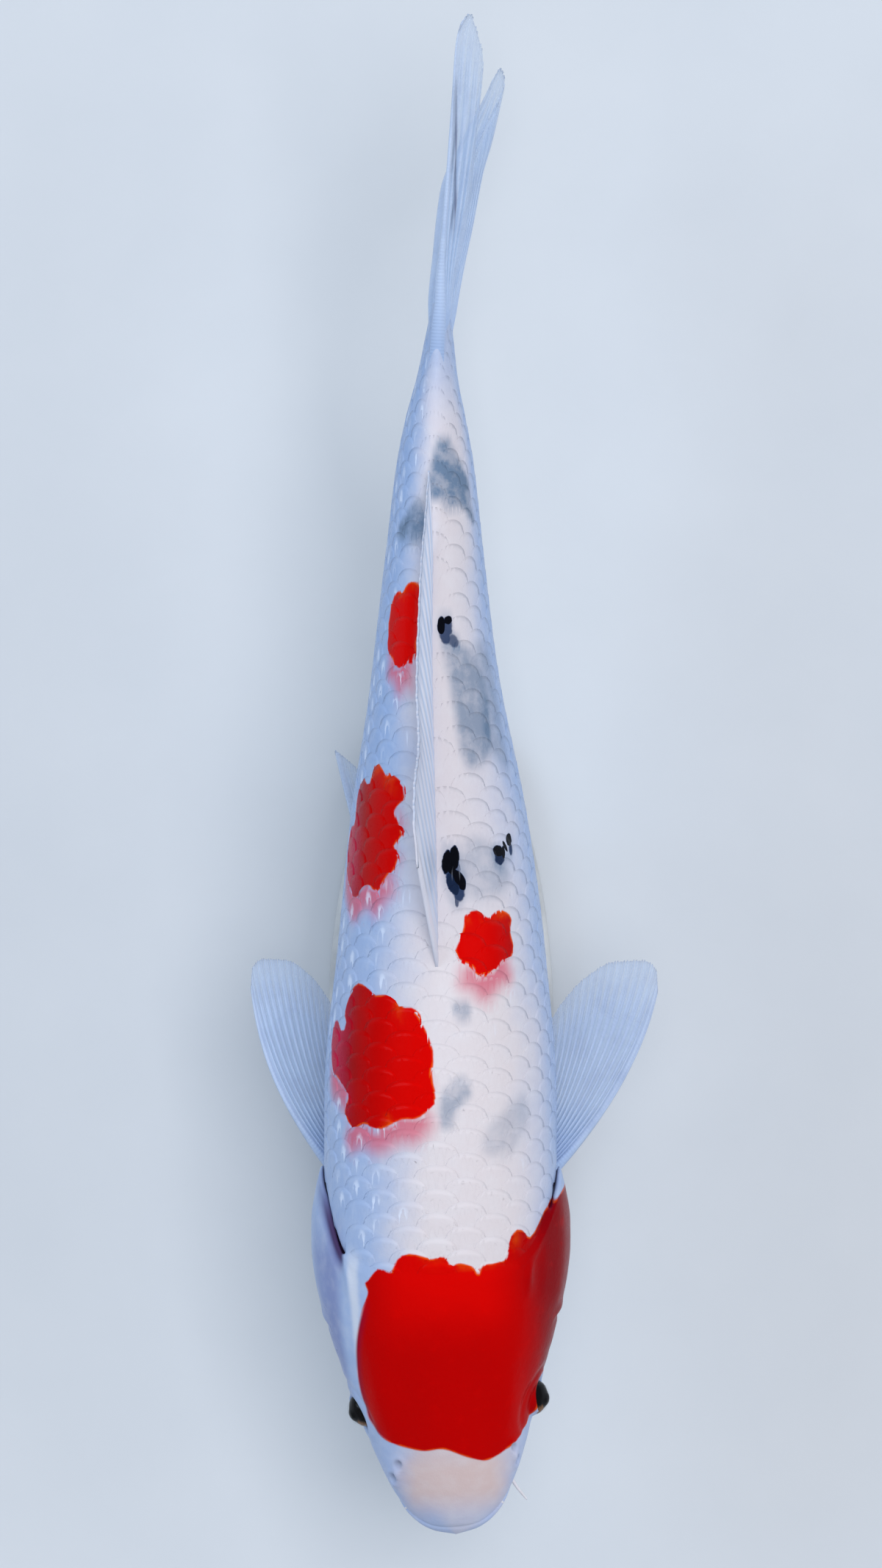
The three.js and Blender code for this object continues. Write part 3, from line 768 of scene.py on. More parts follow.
def feelerBuild(graph):
    cloud = graph.noise(1.8, 3)
    base = graph.mix(cloud, koiColours["spine"], koiColours["belly"])
    return {"Base Color": base, "Roughness": 0.3 + cloud * 0.1, "Normal": graph.bump(cloud, 0.2, 0.5)}


standColours = {
    "paint": colour(196, 198, 200),
    "dust": colour(180, 184, 188),
    "worn": colour(150, 152, 156),
    "steelDark": colour(150, 152, 156),
    "steelPale": colour(206, 208, 212),
}


def standBuild(graph):
    c = standColours
    grain = graph.noise(0.7, 3)
    dust = graph.noise(26, 4, 0.6)
    base = graph.mix(graph.smooth(dust, 0.4, 0.75) * 0.5, c["paint"], c["dust"])
    base = graph.mix(graph.attribute("wear") * graph.smooth(dust, 0.35, 0.65), base, c["worn"])
    return {"Base Color": base, "Roughness": 0.42 + dust * 0.16, "Normal": graph.bump(grain, 0.05, 0.6)}


def rodBuild(graph):
    brushed = graph.noise(6, 4, 0.6, (1, 1, 0.03))
    base = graph.mix(brushed, standColours["steelDark"], standColours["steelPale"])
    return {"Base Color": base, "Roughness": 0.2 + brushed * 0.22, "Normal": graph.bump(brushed, 0.04, 0.5)}


gloss = {
    # what stays the same all over each finish
    "wet": {"Coat Weight": 0.08, "Coat Roughness": 0.1, "Coat IOR": 1.35, "Specular IOR Level": 0.02},
    "fin": {"Coat Weight": 0.3, "Coat Roughness": 0.15},
    "eye": {"Coat Weight": 0.1, "Coat Roughness": 0.03, "Specular IOR Level": 0.1},
    "cornea": {"Alpha": 0.06, "IOR": 1.38, "Coat Weight": 0.3, "Coat Roughness": 0.02},
    "steel": {"Metallic": 1.0},
    "plain": {},
}
skinFinish = finish("koiSkin", skinBuild, gloss["wet"])
scaleFinish = finish("koiScales", scaleBuild, gloss["wet"])
finFinish = finish("finMembrane", finBuild, gloss["fin"])
eyeFinish = finish("eyeBall", eyeBuild, gloss["eye"])
corneaFinish = finish("eyeCornea", corneaBuild, gloss["cornea"])
feelerFinish = finish("feelerSkin", feelerBuild, gloss["wet"])
standFinish = finish("standPaint", standBuild, gloss["plain"])
rodFinish = finish("rodSteel", rodBuild, gloss["steel"])
print("finishes ready")


def makeMesh(name, points, faces, material, smoothShaded=True):
    mesh = bpy.data.meshes.new(name)
    mesh.from_pydata((np.asarray(points) * metre).tolist(), [], faces)
    mesh.polygons.foreach_set("use_smooth", [smoothShaded] * len(mesh.polygons))
    mesh.materials.append(material)
    return mesh


def addPiece(name, mesh, slot, *nodes):
    piece = bpy.data.objects.new(name, mesh)
    bpy.context.scene.collection.objects.link(piece)
    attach(piece, "root")
    if nodes:
        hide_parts(*nodes)
    return piece


def gridFaces(rows, columns, closed=True):
    # quads between rows of points; in closed rows the last point is joined to the first
    i, j = np.meshgrid(np.arange(rows - 1), np.arange(columns if closed else columns - 1), indexing="ij")
    k = (j + 1) % columns
    corners = [i * columns + j, i * columns + k, (i + 1) * columns + k, (i + 1) * columns + j]
    return np.stack(corners, axis=-1).reshape(-1, 4).tolist()


def poleFaces(rows, columns):
    # fans that close both ends of closed rows, by two more points that follow them
    first, last, start = rows * columns, rows * columns + 1, (rows - 1) * columns
    fans = [[first, (j + 1) % columns, j] for j in range(columns)]
    return fans + [[last, start + j, start + (j + 1) % columns] for j in range(columns)]


def capFaces(rows, columns):
    # one face over each end of closed rows
    return [list(range(columns))[::-1], [(rows - 1) * columns + k for k in range(columns)]]


def faceOutwards(mesh):
    bm = bmesh.new()
    bm.from_mesh(mesh)
    volume = bm.calc_volume(signed=True)
    bm.free()
    if volume < 0:
        mesh.flip_normals()


def addHelper(name, mesh):
    helper = bpy.data.objects.new(name, mesh)
    bpy.context.scene.collection.objects.link(helper)
    return helper


def writeMap(mesh, corners):
    layer = mesh.uv_layers.new(name="OFBake")
    layer.data.foreach_set("uv", np.asarray(corners, np.float32).ravel())


skinForm = {
    "headRings": 198,
    "trunkRings": 86,
    "columns": 336,
    "eyeRim": 0.5,  # how thick the skin over the eyeball is
    "eyeOpening": {"left": 68, "right": 62},  # degrees from the eye's axis to the rim
    "wedge": 3.2,  # how wide the right gills gape at the top
    "wedgeAngle": 1.03,  # where they gape most, as an angle from the back
    "coverDip": 1.3,  # how far the right cover sinks in beside them
    "calm": 4,  # nothing stands out nearer than this to the head's own edge
}

# beyond the head's edge: how far back, what share of the cover's bulge, how far out, where the gills open
slitSteps = [
    (0.5, 0.8, 0.0), (0.7, 0.45, -0.1), (-0.4, 0.3, -0.5), (-2.4, 0.2, -1.2), (-4.5, 0.06, -2.4),
    (-4.5, 0.0, -3.0), (-3, 0.0, -2.4), (-1.2, 0.0, -1.2), (0.8, 0.0, -0.3),
]
shutSteps = [(0.4 + 0.4 * i, 1 - i / 8, 0.0) for i in range(9)]

eyeCentres = {}
for sideName in ("left", "right"):
    low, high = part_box(f"eye_{sideName}")
    eyeCentres[sideName] = np.array((low + high) / 2) / metre
eyeRadius = (high.z - low.z) / 2 / metre

eyeForm = {
    "lookUp": {"left": 12, "right": 14},  # degrees
    "lookAhead": {"left": 8, "right": 26},
    "lens": 27,  # degrees from the eye's axis to the pupil's rim
    "iris": 60,
    "corneaLift": 0.3,
    "rings": 40,
    "columns": 48,
}


def eyeAxis(sideName):
    side = 1 if sideName == "left" else -1
    up, ahead = (math.radians(eyeForm[name][sideName]) for name in ("lookUp", "lookAhead"))
    return unit(np.array([side * math.cos(up) * math.cos(ahead), -math.sin(ahead), math.sin(up)]))


# each nostril has two openings, the front one second: s, w, radius
nostrils = [
    [(25, 27, 1.5), (29.5, 24.5, 1.2)],
    [(21.3, -22, 1.7), (26, -18.6, 1.4)],
]

mouthForm = {
    "level": -15.2,  # v of the mouth's line at the snout's tip
    "fall": 0.38,  # how much lower it lies for each millimetre further back
    "corner": (25, 17),  # s where it ends, and where it has its full depth
    "depth": 2.6,
    "lip": 1.1,  # how far the lips stand out
    "upperLip": (7.6, 4.2),  # its height in front and at the corner
    "lowerLip": 4.6,
    "feelerRoot": (25, -24.5),  # s and v of the swelling at the corner feeler
}

plateForm = {
    "cheek": (47, -8),  # s and v of the round cheek plate's middle
    "cheekReach": 27,
    "groove": 0.55,
    "plateEdge": -27,  # v of the gill cover's lower line
    "frillEdge": -36.5,
    "throatFolds": (9, 16, 23),  # how far from the middle of the throat
    "foldW": 35.5,  # where a soft fold runs forwards from the gills
}


def socketForms(points):
    # the socket's rim wraps over the eyeball down to the opening, then turns in under it
    out, dark = np.zeros(points.shape[:-1]), np.zeros(points.shape[:-1])
    for sideName, centre in eyeCentres.items():
        away = np.linalg.norm(points - centre, axis=-1)
        off = np.degrees(np.arccos(np.clip(((points - centre) @ eyeAxis(sideName)) / away, -1, 1)))
        opening = skinForm["eyeOpening"][sideName]
        cover = eyeRadius + skinForm["eyeRim"] * smooth(16, 5, away) + 0.4 * hump(off - opening - 8, 6)
        out += np.maximum(0, cover - away) * smooth(opening - 1, opening + 7, off)
        out += (eyeRadius - 2.2 - away) * smooth(opening + 3, opening - 6, off)
        out -= 0.4 * hump(away - 12, 1.5)
        # painted shade where the skin turns in under the eyeball
        dark = np.maximum(dark, 0.9 * smooth(opening + 1, opening - 3, off))
    return out, dark


def nostrilForms(s, w):
    out, dark = np.zeros_like(s), np.zeros_like(s)
    for pair in nostrils:
        for at, across, radius in pair:
            away = np.hypot(s - at, w - across)
            out += 0.25 * hump(away - radius - 1, 0.9) - 1.2 * smooth(radius + 0.6, radius * 0.1, away)
            # painted shade in the openings
            dark = np.maximum(dark, 0.36 * smooth(radius + 0.7, 0, away))
        (s0, w0, _), (s1, w1, _) = pair
        side = np.sign(w0)
        # a flap stands between the two openings and runs on forwards and inwards
        ridge = np.hypot((s - (s0 + s1) / 2 + 1) / 1.6, w - (w0 + w1) / 2 + 1.2 * side)
        curl = np.hypot(s - s0 + 2.5, (w - w0 + 0.5 * side) / 1.8)
        out += 0.9 * hump(ridge, 1.2) + 0.5 * hump(curl, 1.4)
        out += 0.5 * hump(np.hypot(s - s0 - 2, w - w0), 6)
    return out, dark


def mouthForms(s, v):
    # the mouth's line lies between two lips, each with a fold beyond it
    form = mouthForm
    above = v - form["level"] + form["fall"] * s
    present = smooth(*form["corner"], s)
    full = mix(0.45, 1, smooth(1, 10, s))  # the lips are thinner in front
    height = mix(*form["upperLip"], smooth(2, 20, s))
    upper = np.clip(above / height, 0, 1)
    lower = np.clip(-above / form["lowerLip"], 0, 1)
    lips = np.sin(math.pi * upper) ** 0.8 + 0.9 * np.sin(math.pi * lower) ** 0.8
    out = form["lip"] * lips * present * full - form["depth"] * hump(above, 0.75) * present
    pastUpper, pastLower = above - height, -above - form["lowerLip"]
    out -= hump(pastUpper, np.where(pastUpper > 0, 0.9, 0.8)) * present * full**2
    out -= 0.8 * hump(pastLower, np.where(pastLower > 0, 1.1, 0.9)) * present
    rootS, rootV = form["feelerRoot"]
    out += 0.6 * hump(np.hypot(s - rootS, v - rootV) - 2.5, 1.4) * smooth(20, 24, s)
    # the second value is painted shade along the mouth's line
    return out, hump(above, 0.7) * present


def plateForms(s, w, v):
    form = plateForm
    # the cheek's round edge
    fromEdge = np.hypot(s - form["cheek"][0], v - form["cheek"][1]) - form["cheekReach"]
    swept = smooth(60, 66, s) * smooth(-40, -33, v) * smooth(6, -3, v)
    out = (0.5 * hump(fromEdge - 3, 2.4) - form["groove"] * hump(fromEdge, 1.3)) * swept
    # the gill cover's lower lines, and its swelling above them
    out -= 0.45 * hump(v - form["plateEdge"] + 0.05 * (s - 80), 1.0) * smooth(76, 82, s) * smooth(124, 112, s)
    frill = v - form["frillEdge"] - 0.02 * (s - 80)
    out -= 0.5 * hump(frill, 1.0) * smooth(56, 66, s) * smooth(112, 100, s)
    out += 0.5 * hump(v - 6 - 0.12 * (s - 80), 6) * smooth(74, 84, s) * smooth(120, 108, s)
    for fromThroat in form["throatFolds"]:
        line = np.abs(w) - (bellyArc(s) - fromThroat - 0.08 * s)
        out -= 0.4 * hump(line, 1.0) * smooth(34, 48, s) * smooth(86, 70, s)
    # a soft fold that runs forwards from the gills, over the cheek
    fold = np.abs(w) - form["foldW"] + 0.12 * (98 - s)
    out += 0.6 * hump(fold, 1.8) * smooth(80, 90, s) * smooth(102, 97, s)
    out -= 0.4 * hump(fold - 5, 3) * smooth(76, 90, s)
    # the brow, and a shallow trough on each side of the crown
    out += 0.8 * hump(np.abs(w) - 23, 6) * hump(s - 48, 14)
    out -= 0.5 * hump(np.abs(w) - 13, 6) * hump(s - 40, 22)
    out += 0.6 * hump(w, 8) * hump(s - 60, 26)
    return out


def headForms(s, w, v, points):
    # how far the skin stands out of, or into, the plain body, and how much painted shade its hollows take
    parts = [socketForms(points), nostrilForms(s, w), mouthForms(s, v)]
    out = sum(part[0] for part in parts) + plateForms(s, w, v)
    dark = np.max([part[1] for part in parts], axis=0)
    return out, np.clip(dark, 0, 1)


def spread(count, weight):
    # shares of the way from 0 to 1, closer together where the weight is high
    fine = np.linspace(0, 1, 4001)
    total = np.concatenate([[0], np.cumsum(weight((fine[1:] + fine[:-1]) / 2))])
    return np.interp((np.arange(count) + 1) / count, total / total[-1], fine)


def skinRings(rim, edge, dip, opened):
    # each ring's s, share of the cover's bulge, how far out it lies, and how deep inside the gills, which
    # sets its painted shade there
    form = skinForm
    shares = spread(form["headRings"], lambda share: 0.62 * share**-0.375 + 0.9 * hump(share - 0.4, 0.11))
    rings = []
    for share in shares:
        sunk = dip * smooth(7, 0.5, rim * (1 - share))
        rings.append((rim * share, 1.0, -fish["headDepth"] - sunk, 0.0))
    for i, (shut, wide) in enumerate(zip(shutSteps, slitSteps)):
        depth = mix(-fish["headDepth"], -fish["coatDepth"], (i + 1) / len(slitSteps)) - dip * (i < 3)
        back, bulge = mix(shut[0], wide[0], opened), mix(shut[1], wide[1], opened)
        inner = smooth(0, 4, i) * smooth(8.5, 6, i)
        rings.append(((rim if i < 5 else edge) + back, bulge, depth + wide[2] * opened, inner * opened))
    start = edge + mix(shutSteps[-1][0], slitSteps[-1][0], opened)
    for share in (np.arange(form["trunkRings"]) + 1) / form["trunkRings"]:
        rings.append((mix(start, fish["length"], share**1.15), 0.0, -fish["coatDepth"], 0.0))
    return np.array([[np.broadcast_to(value, (form["columns"],)) for value in ring] for ring in rings])


def skinUnwrap(columns):
    # round the body across, along it up, with room for the head
    high = 0.02 + 0.95 * np.concatenate([
        np.linspace(0, 0.55, skinForm["headRings"]),
        np.linspace(0.56, 0.6, len(slitSteps)),
        np.linspace(0.61, 1, skinForm["trunkRings"]),
    ])
    strips = [(0.01 + 0.98 * j / columns, 0.01 + 0.98 * (j + 1) / columns) for j in range(columns)]
    corners = []
    for low, up in zip(high[:-1], high[1:]):
        for a, b in strips:
            corners += [(a, up), (b, up), (b, low), (a, low)]
    for a, b in strips:
        corners += [(a, high[0]), (b, high[0]), ((a + b) / 2, 0.008)]
    for a, b in strips:
        corners += [(b, high[-1]), (a, high[-1]), ((a + b) / 2, 0.99)]
    return corners


def makeSkin():
    form = skinForm
    columns, head = form["columns"], form["headRings"]
    # rings and columns lie closer at the snout and round the eyes
    crowd = lambda turn: 1 + hump(2 * math.pi * np.minimum(turn, 1 - turn) - 1.36, 0.3)
    angle = 2 * math.pi * np.roll(spread(columns, crowd), 1)
    angle[0] = 0.0
    folded = np.minimum(angle, 2 * math.pi - angle)
    right = angle > math.pi
    edge = headEdge(folded)
    opened = np.where(right, slitOpen(folded, "right"), slitOpen(folded, "left"))
    # the right gills gape at the top, and the cover beside them sinks in
    rim = edge - form["wedge"] * hump(folded - form["wedgeAngle"], 0.13) * right * opened
    dip = form["coverDip"] * smooth(1.5, 1.15, folded) * right * opened
    rings = skinRings(rim, edge, dip, opened)
    s, bulge, grow, gillShade = (rings[:, k] for k in range(4))
    around = np.broadcast_to(angle, s.shape)
    u, v = section(s, around, grow, fish["coverBulge"] * bulge)
    points = place(s, u, v)
    w = np.where(around > math.pi, -1, 1) * arcAt(s, np.minimum(around, 2 * math.pi - around))
    forward = np.gradient(points, axis=0)
    sideways = np.roll(points, -1, axis=1) - np.roll(points, 1, axis=1)
    normal = unit(np.cross(sideways, forward))
    blunt = smooth(1.6, 0.3, s)[..., None]  # at the very tip the skin faces straight ahead
    normal = unit(mix(normal, np.array((0, -1.0, 0)), blunt))
    out, dark = np.zeros_like(s), np.zeros_like(s)
    out[:head], dark[:head] = headForms(s[:head], w[:head], v[:head], points[:head])
    points = points + normal * (out * smooth(0, form["calm"], rim - s))[..., None]
    # both ends are closed by fans
    tip, tail = points[0].mean(axis=0) + (0, 1.5, 0), points[-1].mean(axis=0)
    faces = gridFaces(len(rings), columns) + poleFaces(len(rings), columns)
    allPoints = np.vstack([points.reshape(-1, 3), tip, tail])
    mesh = makeMesh("skin", allPoints, [face[::-1] for face in faces], skinFinish)
    flat = lambda values, first, final: np.concatenate([values.ravel(), [first, final]])
    writeMarkings(mesh, flat(s, 0, fish["length"]), flat(w, 0, 0))
    # painted shade darkens it towards the open gills, and inside them, and a painted shadow lies on the right
    # cover beside the gap
    gapes = opened * right
    shade = smooth(7.5, 0.4, rim - s) * smooth(1.6, 1.15, folded) * gapes
    gapeShadow = smooth(3.4, 0.4, rim - s) * smooth(0.84, 0.96, folded) * smooth(1.34, 1.12, folded) * gapes
    shade[head + 3:] = gapeShadow[head + 3:] = 0
    writeFloat(mesh, "shade", flat(0.85 * shade, 0, 0))
    writeFloat(mesh, "gillShade", flat(np.maximum(gillShade, 0.9 * gapeShadow), 0, 0))
    # painted shade in the head's hollows, darker deeper inside the gills
    writeFloat(mesh, "dark", flat(np.maximum(dark, 0.45 * gillShade * smooth(1.5, 4, -grow)), 1, 0))
    writeMap(mesh, skinUnwrap(columns))
    return mesh


skinNodes = [
    "head", "jaw_lower", "lip_upper", "gill_cover_left", "gill_cover_right",
    "trunk_front", "trunk_middle", "tail_stalk",
]
skin = addPiece("koi_skin", makeSkin(), "skin", *skinNodes)
print("skin:", len(skin.data.polygons), "faces")


coat = {
    "length": 16,  # of one scale, most of it under the scales in front
    "width": 17,
    "thick": 0.07,
    "root": -0.1,  # how far out of the skin a scale starts
    "slope": 0.011,
    "pitch": 8.2,  # from one scale to the next in its row
    "rows": profile([[80, 7], [196, 7], [334, 5], [430, 5]]),  # above the lateral line, and as many below
    "plainRow": 10.9,  # how far apart the rows lie where a scale has its plain width
    "first": 84.1,
    "last": 409,
    "turn": 2.5,  # degrees that a scale may lie askew
    "uneven": 0.03,
    "relief": (0.32, 0.87),  # how far the scales rise on the back, under more skin, and on the flanks
    "bed": (72, 431),  # s of the surface that they are laid on
    "flow": (500, 400),  # what that surface's map, 0 to 1, stands for in s and in w
    "grid": (7, 6),  # one scale's squares along and across
    "seed": 11,
}


def scaleTemplate():
    # one scale, root towards -X, in a grid with rounded corners; closed, with a flat underside
    long, wide = coat["length"] / 2, coat["width"] / 2
    rows, columns = coat["grid"]
    x, y = np.meshgrid(np.linspace(-1, 1, rows + 1), np.linspace(-1, 1, columns + 1), indexing="ij")
    roundedX, roundedY = x * np.sqrt(1 - y * y * 0.44), y * np.sqrt(1 - x * x * 0.44)
    back = roundedX * long
    side = roundedY * wide * (1 + 0.06 * roundedX)
    height = coat["root"] + coat["slope"] * (back + long) + 0.02 * (1 - (roundedY * 1.1) ** 2)
    top = np.stack([back, side, height], axis=-1).reshape(-1, 3)
    at = np.arange(len(top)).reshape(rows + 1, columns + 1)
    rim = np.concatenate([at[:-1, 0], at[-1, :-1], at[:0:-1, -1], at[0, :0:-1]])
    points = np.vstack([top, top[rim] - (0, 0, coat["thick"])])
    under = np.arange(len(rim)) + len(top)
    faces = [
        [at[i, j], at[i + 1, j], at[i + 1, j + 1], at[i, j + 1]] for i in range(rows) for j in range(columns)
    ]
    faces += zip(rim, under, np.roll(under, -1), np.roll(rim, -1))
    faces.append(under[::-1])
    mesh = makeMesh("scaleTemplate", points, [[int(k) for k in face] for face in faces], scaleFinish)
    mesh.polygons.foreach_set("use_smooth", [i < rows * columns for i in range(len(faces))])
    alongIt, acrossIt = points[:, 0] / long, points[:, 1] / wide
    fromRoot = (alongIt + 1) / 2
    fromMiddle = 0.5 + 0.5 * np.hypot(alongIt, acrossIt) * (fromRoot > 0.5)
    writeFloat(mesh, "side", acrossIt)
    writeFloat(mesh, "back", np.maximum(fromRoot, fromMiddle))
    # its patch of the unwrap: the top on one side, the rim round it, the underside beside it
    patch = np.column_stack([alongIt * 0.5 - 0.3, acrossIt * 0.78])
    patch[len(top):] = (patch[rim] - (-0.3, 0)) * 1.14 + (-0.3, 0)
    beside = np.column_stack([alongIt * 0.26 + 0.62, acrossIt * 0.6])
    corners = [patch[k] for face in faces[:-1] for k in face] + [beside[k] for k in faces[-1]]
    writeMap(mesh, corners)
    return mesh


def scaleRoots(side):
    # the middle of each scale of one flank, with its size beside it
    roots = []
    sideName = "left" if side > 0 else "right"
    widest = round(float(coat["rows"](coat["first"])))
    for row in range(-widest, widest + 1):
        for s in np.arange(coat["first"] + coat["pitch"] * (row % 2) / 2, coat["last"], coat["pitch"]):
            rows = float(coat["rows"](s))
            onMidline = abs(abs(row) - rows) < 0.05
            # the back's own row belongs to the left flank
            if abs(row) > rows - 0.35 and not onMidline or onMidline and side < 0:
                continue
            top, whole = float(flankArc(s)), float(bellyArc(s))
            gap = (top if row >= 0 else whole - top) / rows
            w = top - row * gap
            folded = angleAt(s, w)
            bare = float(headEdge(folded)) - mix(12, -0.5, float(slitOpen(folded, sideName)))
            if s - coat["length"] / 2 > bare:
                roots.append((s, side * w, gap / coat["plainRow"]))
    return np.array(roots)


def coatBed():
    # the smooth surface that the scales are laid on, mapped by s and w, and running on past the belly
    s = np.arange(*coat["bed"], tableStep)
    angle = np.radians(np.arange(-255, 255.1, 1.5))
    stations, around = np.meshgrid(s, angle, indexing="ij")
    u, v = section(stations, np.mod(around, 2 * math.pi), -fish["coatDepth"])
    folded = np.abs(around)
    past = 2 * bellyArc(stations) - arcAt(stations, 2 * math.pi - folded)
    w = np.sign(around) * np.where(folded > math.pi, past, arcAt(stations, folded))
    faces = gridFaces(*stations.shape, closed=False)
    mesh = makeMesh("coatBed", place(stations, u, v).reshape(-1, 3), faces, scaleFinish)
    long, wide = coat["flow"]
    flow = np.column_stack([stations.ravel() / long, 0.5 + w.ravel() / wide])
    layer = mesh.uv_layers.new(name="flow")
    layer.data.foreach_set("uv", flow[np.ravel(faces)].astype(np.float32).ravel())
    return mesh


def coatTree():
    # scales are set on flat points at (s, w), then the whole sheet is wrapped round the bed
    tree = bpy.data.node_groups.new("scaleCoat", "GeometryNodeTree")
    inputs = {
        "Geometry": "Geometry", "Bed": "Object", "Scale": "Object", "Askew": "Float",
        "Uneven": "Float", "Seed": "Int", "Finish": "Material",
    }
    for name, kind in inputs.items():
        tree.interface.new_socket(name, in_out="INPUT", socket_type=f"NodeSocket{kind}")
    tree.interface.new_socket("Geometry", in_out="OUTPUT", socket_type="NodeSocketGeometry")
    graph = Graph(tree)
    start = graph.node("NodeGroupInput")
    given = dict(zip(inputs, graph.outputs(start, *inputs)))
    points = graph.node("GeometryNodeMeshToPoints", {"Mesh": given["Geometry"]})
    scale = graph.node("GeometryNodeObjectInfo", {"Object": given["Scale"]}, out="Geometry")
    bed = graph.node("GeometryNodeObjectInfo", {"Object": given["Bed"]}, out="Geometry")

    def named(name, kind):
        return graph.node("GeometryNodeInputNamedAttribute", {"Name": name}, data_type=kind)

    def random(reach, more):
        values = {2: -1 * reach, 3: reach, "Seed": given["Seed"] + more}
        return graph.node("FunctionNodeRandomValue", values, out=1, data_type="FLOAT")

    turn = graph.node("ShaderNodeCombineXYZ", {"Z": random(given["Askew"], 0)})
    size = graph.node("ShaderNodeCombineXYZ", {
        "X": 1 + random(given["Uneven"], 1),
        "Y": named("wide", "FLOAT") + random(given["Uneven"], 2),
        "Z": named("relief", "FLOAT"),
    })
    laid = graph.node("GeometryNodeInstanceOnPoints", {
        "Points": points,
        "Instance": scale,
        "Rotation": graph.node("FunctionNodeEulerToRotation", {"Euler": turn}),
        "Scale": size,
    })
    loose = graph.node("GeometryNodeRealizeInstances", {"Geometry": laid})
    at = graph.node("GeometryNodeInputPosition")
    kept = graph.node("GeometryNodeStoreNamedAttribute", {
        "Geometry": loose, "Name": "laidAt", "Value": at,
    }, data_type="FLOAT_VECTOR", domain="POINT")
    x, y, z = graph.outputs(graph.node("ShaderNodeSeparateXYZ", {"Vector": at}), "X", "Y", "Z")
    long, wide = (1 / metre / reach for reach in coat["flow"])
    flow = graph.node("ShaderNodeCombineXYZ", {"X": x * long, "Y": y * wide + 0.5})

    def sample(value):
        return graph.node("GeometryNodeSampleUVSurface", {
            "Mesh": bed, "Value": value, "Source UV Map": named("flow", "FLOAT_VECTOR"), "Sample UV": flow,
        }, data_type="FLOAT_VECTOR")

    normal = graph.node("GeometryNodeInputNormal")
    outward = graph.node("ShaderNodeVectorMath", {0: sample(normal), "Scale": z}, operation="SCALE")
    where = graph.node("ShaderNodeVectorMath", {0: sample(at), 1: outward}, operation="ADD")
    wrapped = graph.node("GeometryNodeSetPosition", {"Geometry": kept, "Position": where})
    whole = graph.node("GeometryNodeRealizeInstances", {"Geometry": wrapped})
    painted = graph.node("GeometryNodeSetMaterial", {"Geometry": whole, "Material": given["Finish"]})
    graph.node("NodeGroupOutput", {"Geometry": painted}, out=None)
    return tree


def readFloats(data, field, width=1):
    values = np.zeros(len(data) * width, np.float32)
    data.foreach_get(field, values)
    return values.reshape(-1, width) if width > 1 else values


def spreadPatches(mesh, keyS, keyW, wide):
    # each scale's patch of the unwrap goes to the scale's own place on the map
    vertex = np.zeros(len(mesh.loops), np.int32)
    mesh.loops.foreach_get("vertex_index", vertex)
    layer = mesh.uv_layers["OFBake"]
    patch = readFloats(layer.data, "uv", 2)
    margin = 6
    cell = 0.46 * np.column_stack([np.full(len(vertex), coat["pitch"]), wide[vertex] * coat["plainRow"]])
    centre = np.column_stack([keyS[vertex] - coat["first"] + margin, np.abs(keyW[vertex]) + margin])
    whole = (coat["last"] - coat["first"] + 2 * margin, 160)
    layer.data.foreach_set("uv", ((centre + patch * cell) / whole).astype(np.float32).ravel())


def makeScales(name, side, tree, bed, template):
    s, w, wide = scaleRoots(side).T
    mesh = bpy.data.meshes.new(name)
    mesh.from_pydata((np.column_stack([s, w, 0 * s]) * metre).tolist(), [], [])
    low, high = coat["relief"]
    layers = {
        "wide": wide,
        "relief": mix(low, high, smooth(0.4, 1.1, np.abs(w) / flankArc(s))),
        "keyS": s,
        "keyW": w,
        "pearl": np.random.default_rng(coat["seed"]).random(len(s)),
    }
    for layer, values in layers.items():
        writeFloat(mesh, layer, values)
    sheet = addHelper(name, mesh)
    modifier = sheet.modifiers.new("coat", "NODES")
    modifier.node_group = tree
    settings = {
        "Bed": bed, "Scale": template, "Askew": math.radians(coat["turn"]), "Uneven": coat["uneven"],
        "Seed": coat["seed"], "Finish": scaleFinish,
    }
    for item in tree.interface.items_tree:
        if item.name in settings:
            modifier[item.identifier] = settings[item.name]
    bpy.context.view_layer.update()
    laid = bpy.data.meshes.new_from_object(sheet.evaluated_get(bpy.context.evaluated_depsgraph_get()))
    bpy.data.objects.remove(sheet)
    laid.name = name
    at = readFloats(laid.attributes["laidAt"].data, "vector", 3) / metre
    s, w, _ = at.T.astype(float)
    keyS, keyW, wide = (
        readFloats(laid.attributes[layer].data, "value") for layer in ("keyS", "keyW", "wide")
    )
    writeMarkings(laid, s, w, (keyS + marking["free"]).astype(float), keyW.astype(float))
    spreadPatches(laid, keyS, keyW, wide)
    return laid


template = addHelper("scaleTemplate", scaleTemplate())
bed = addHelper("coatBed", coatBed())
tree = coatTree()
for sideName, side in (("left", 1), ("right", -1)):
    coatMesh = makeScales(f"scales_{sideName}", side, tree, bed, template)
    addPiece(f"koi_scales_{sideName}", coatMesh, "skin")
    print("scales", sideName, len(coatMesh.polygons), "faces")
for helper in (template, bed):
    bpy.data.objects.remove(helper)


def bow(start, middle, end, t):
    t = t[..., None]
    return (1 - t) ** 2 * start + 2 * t * (1 - t) * middle + t**2 * end


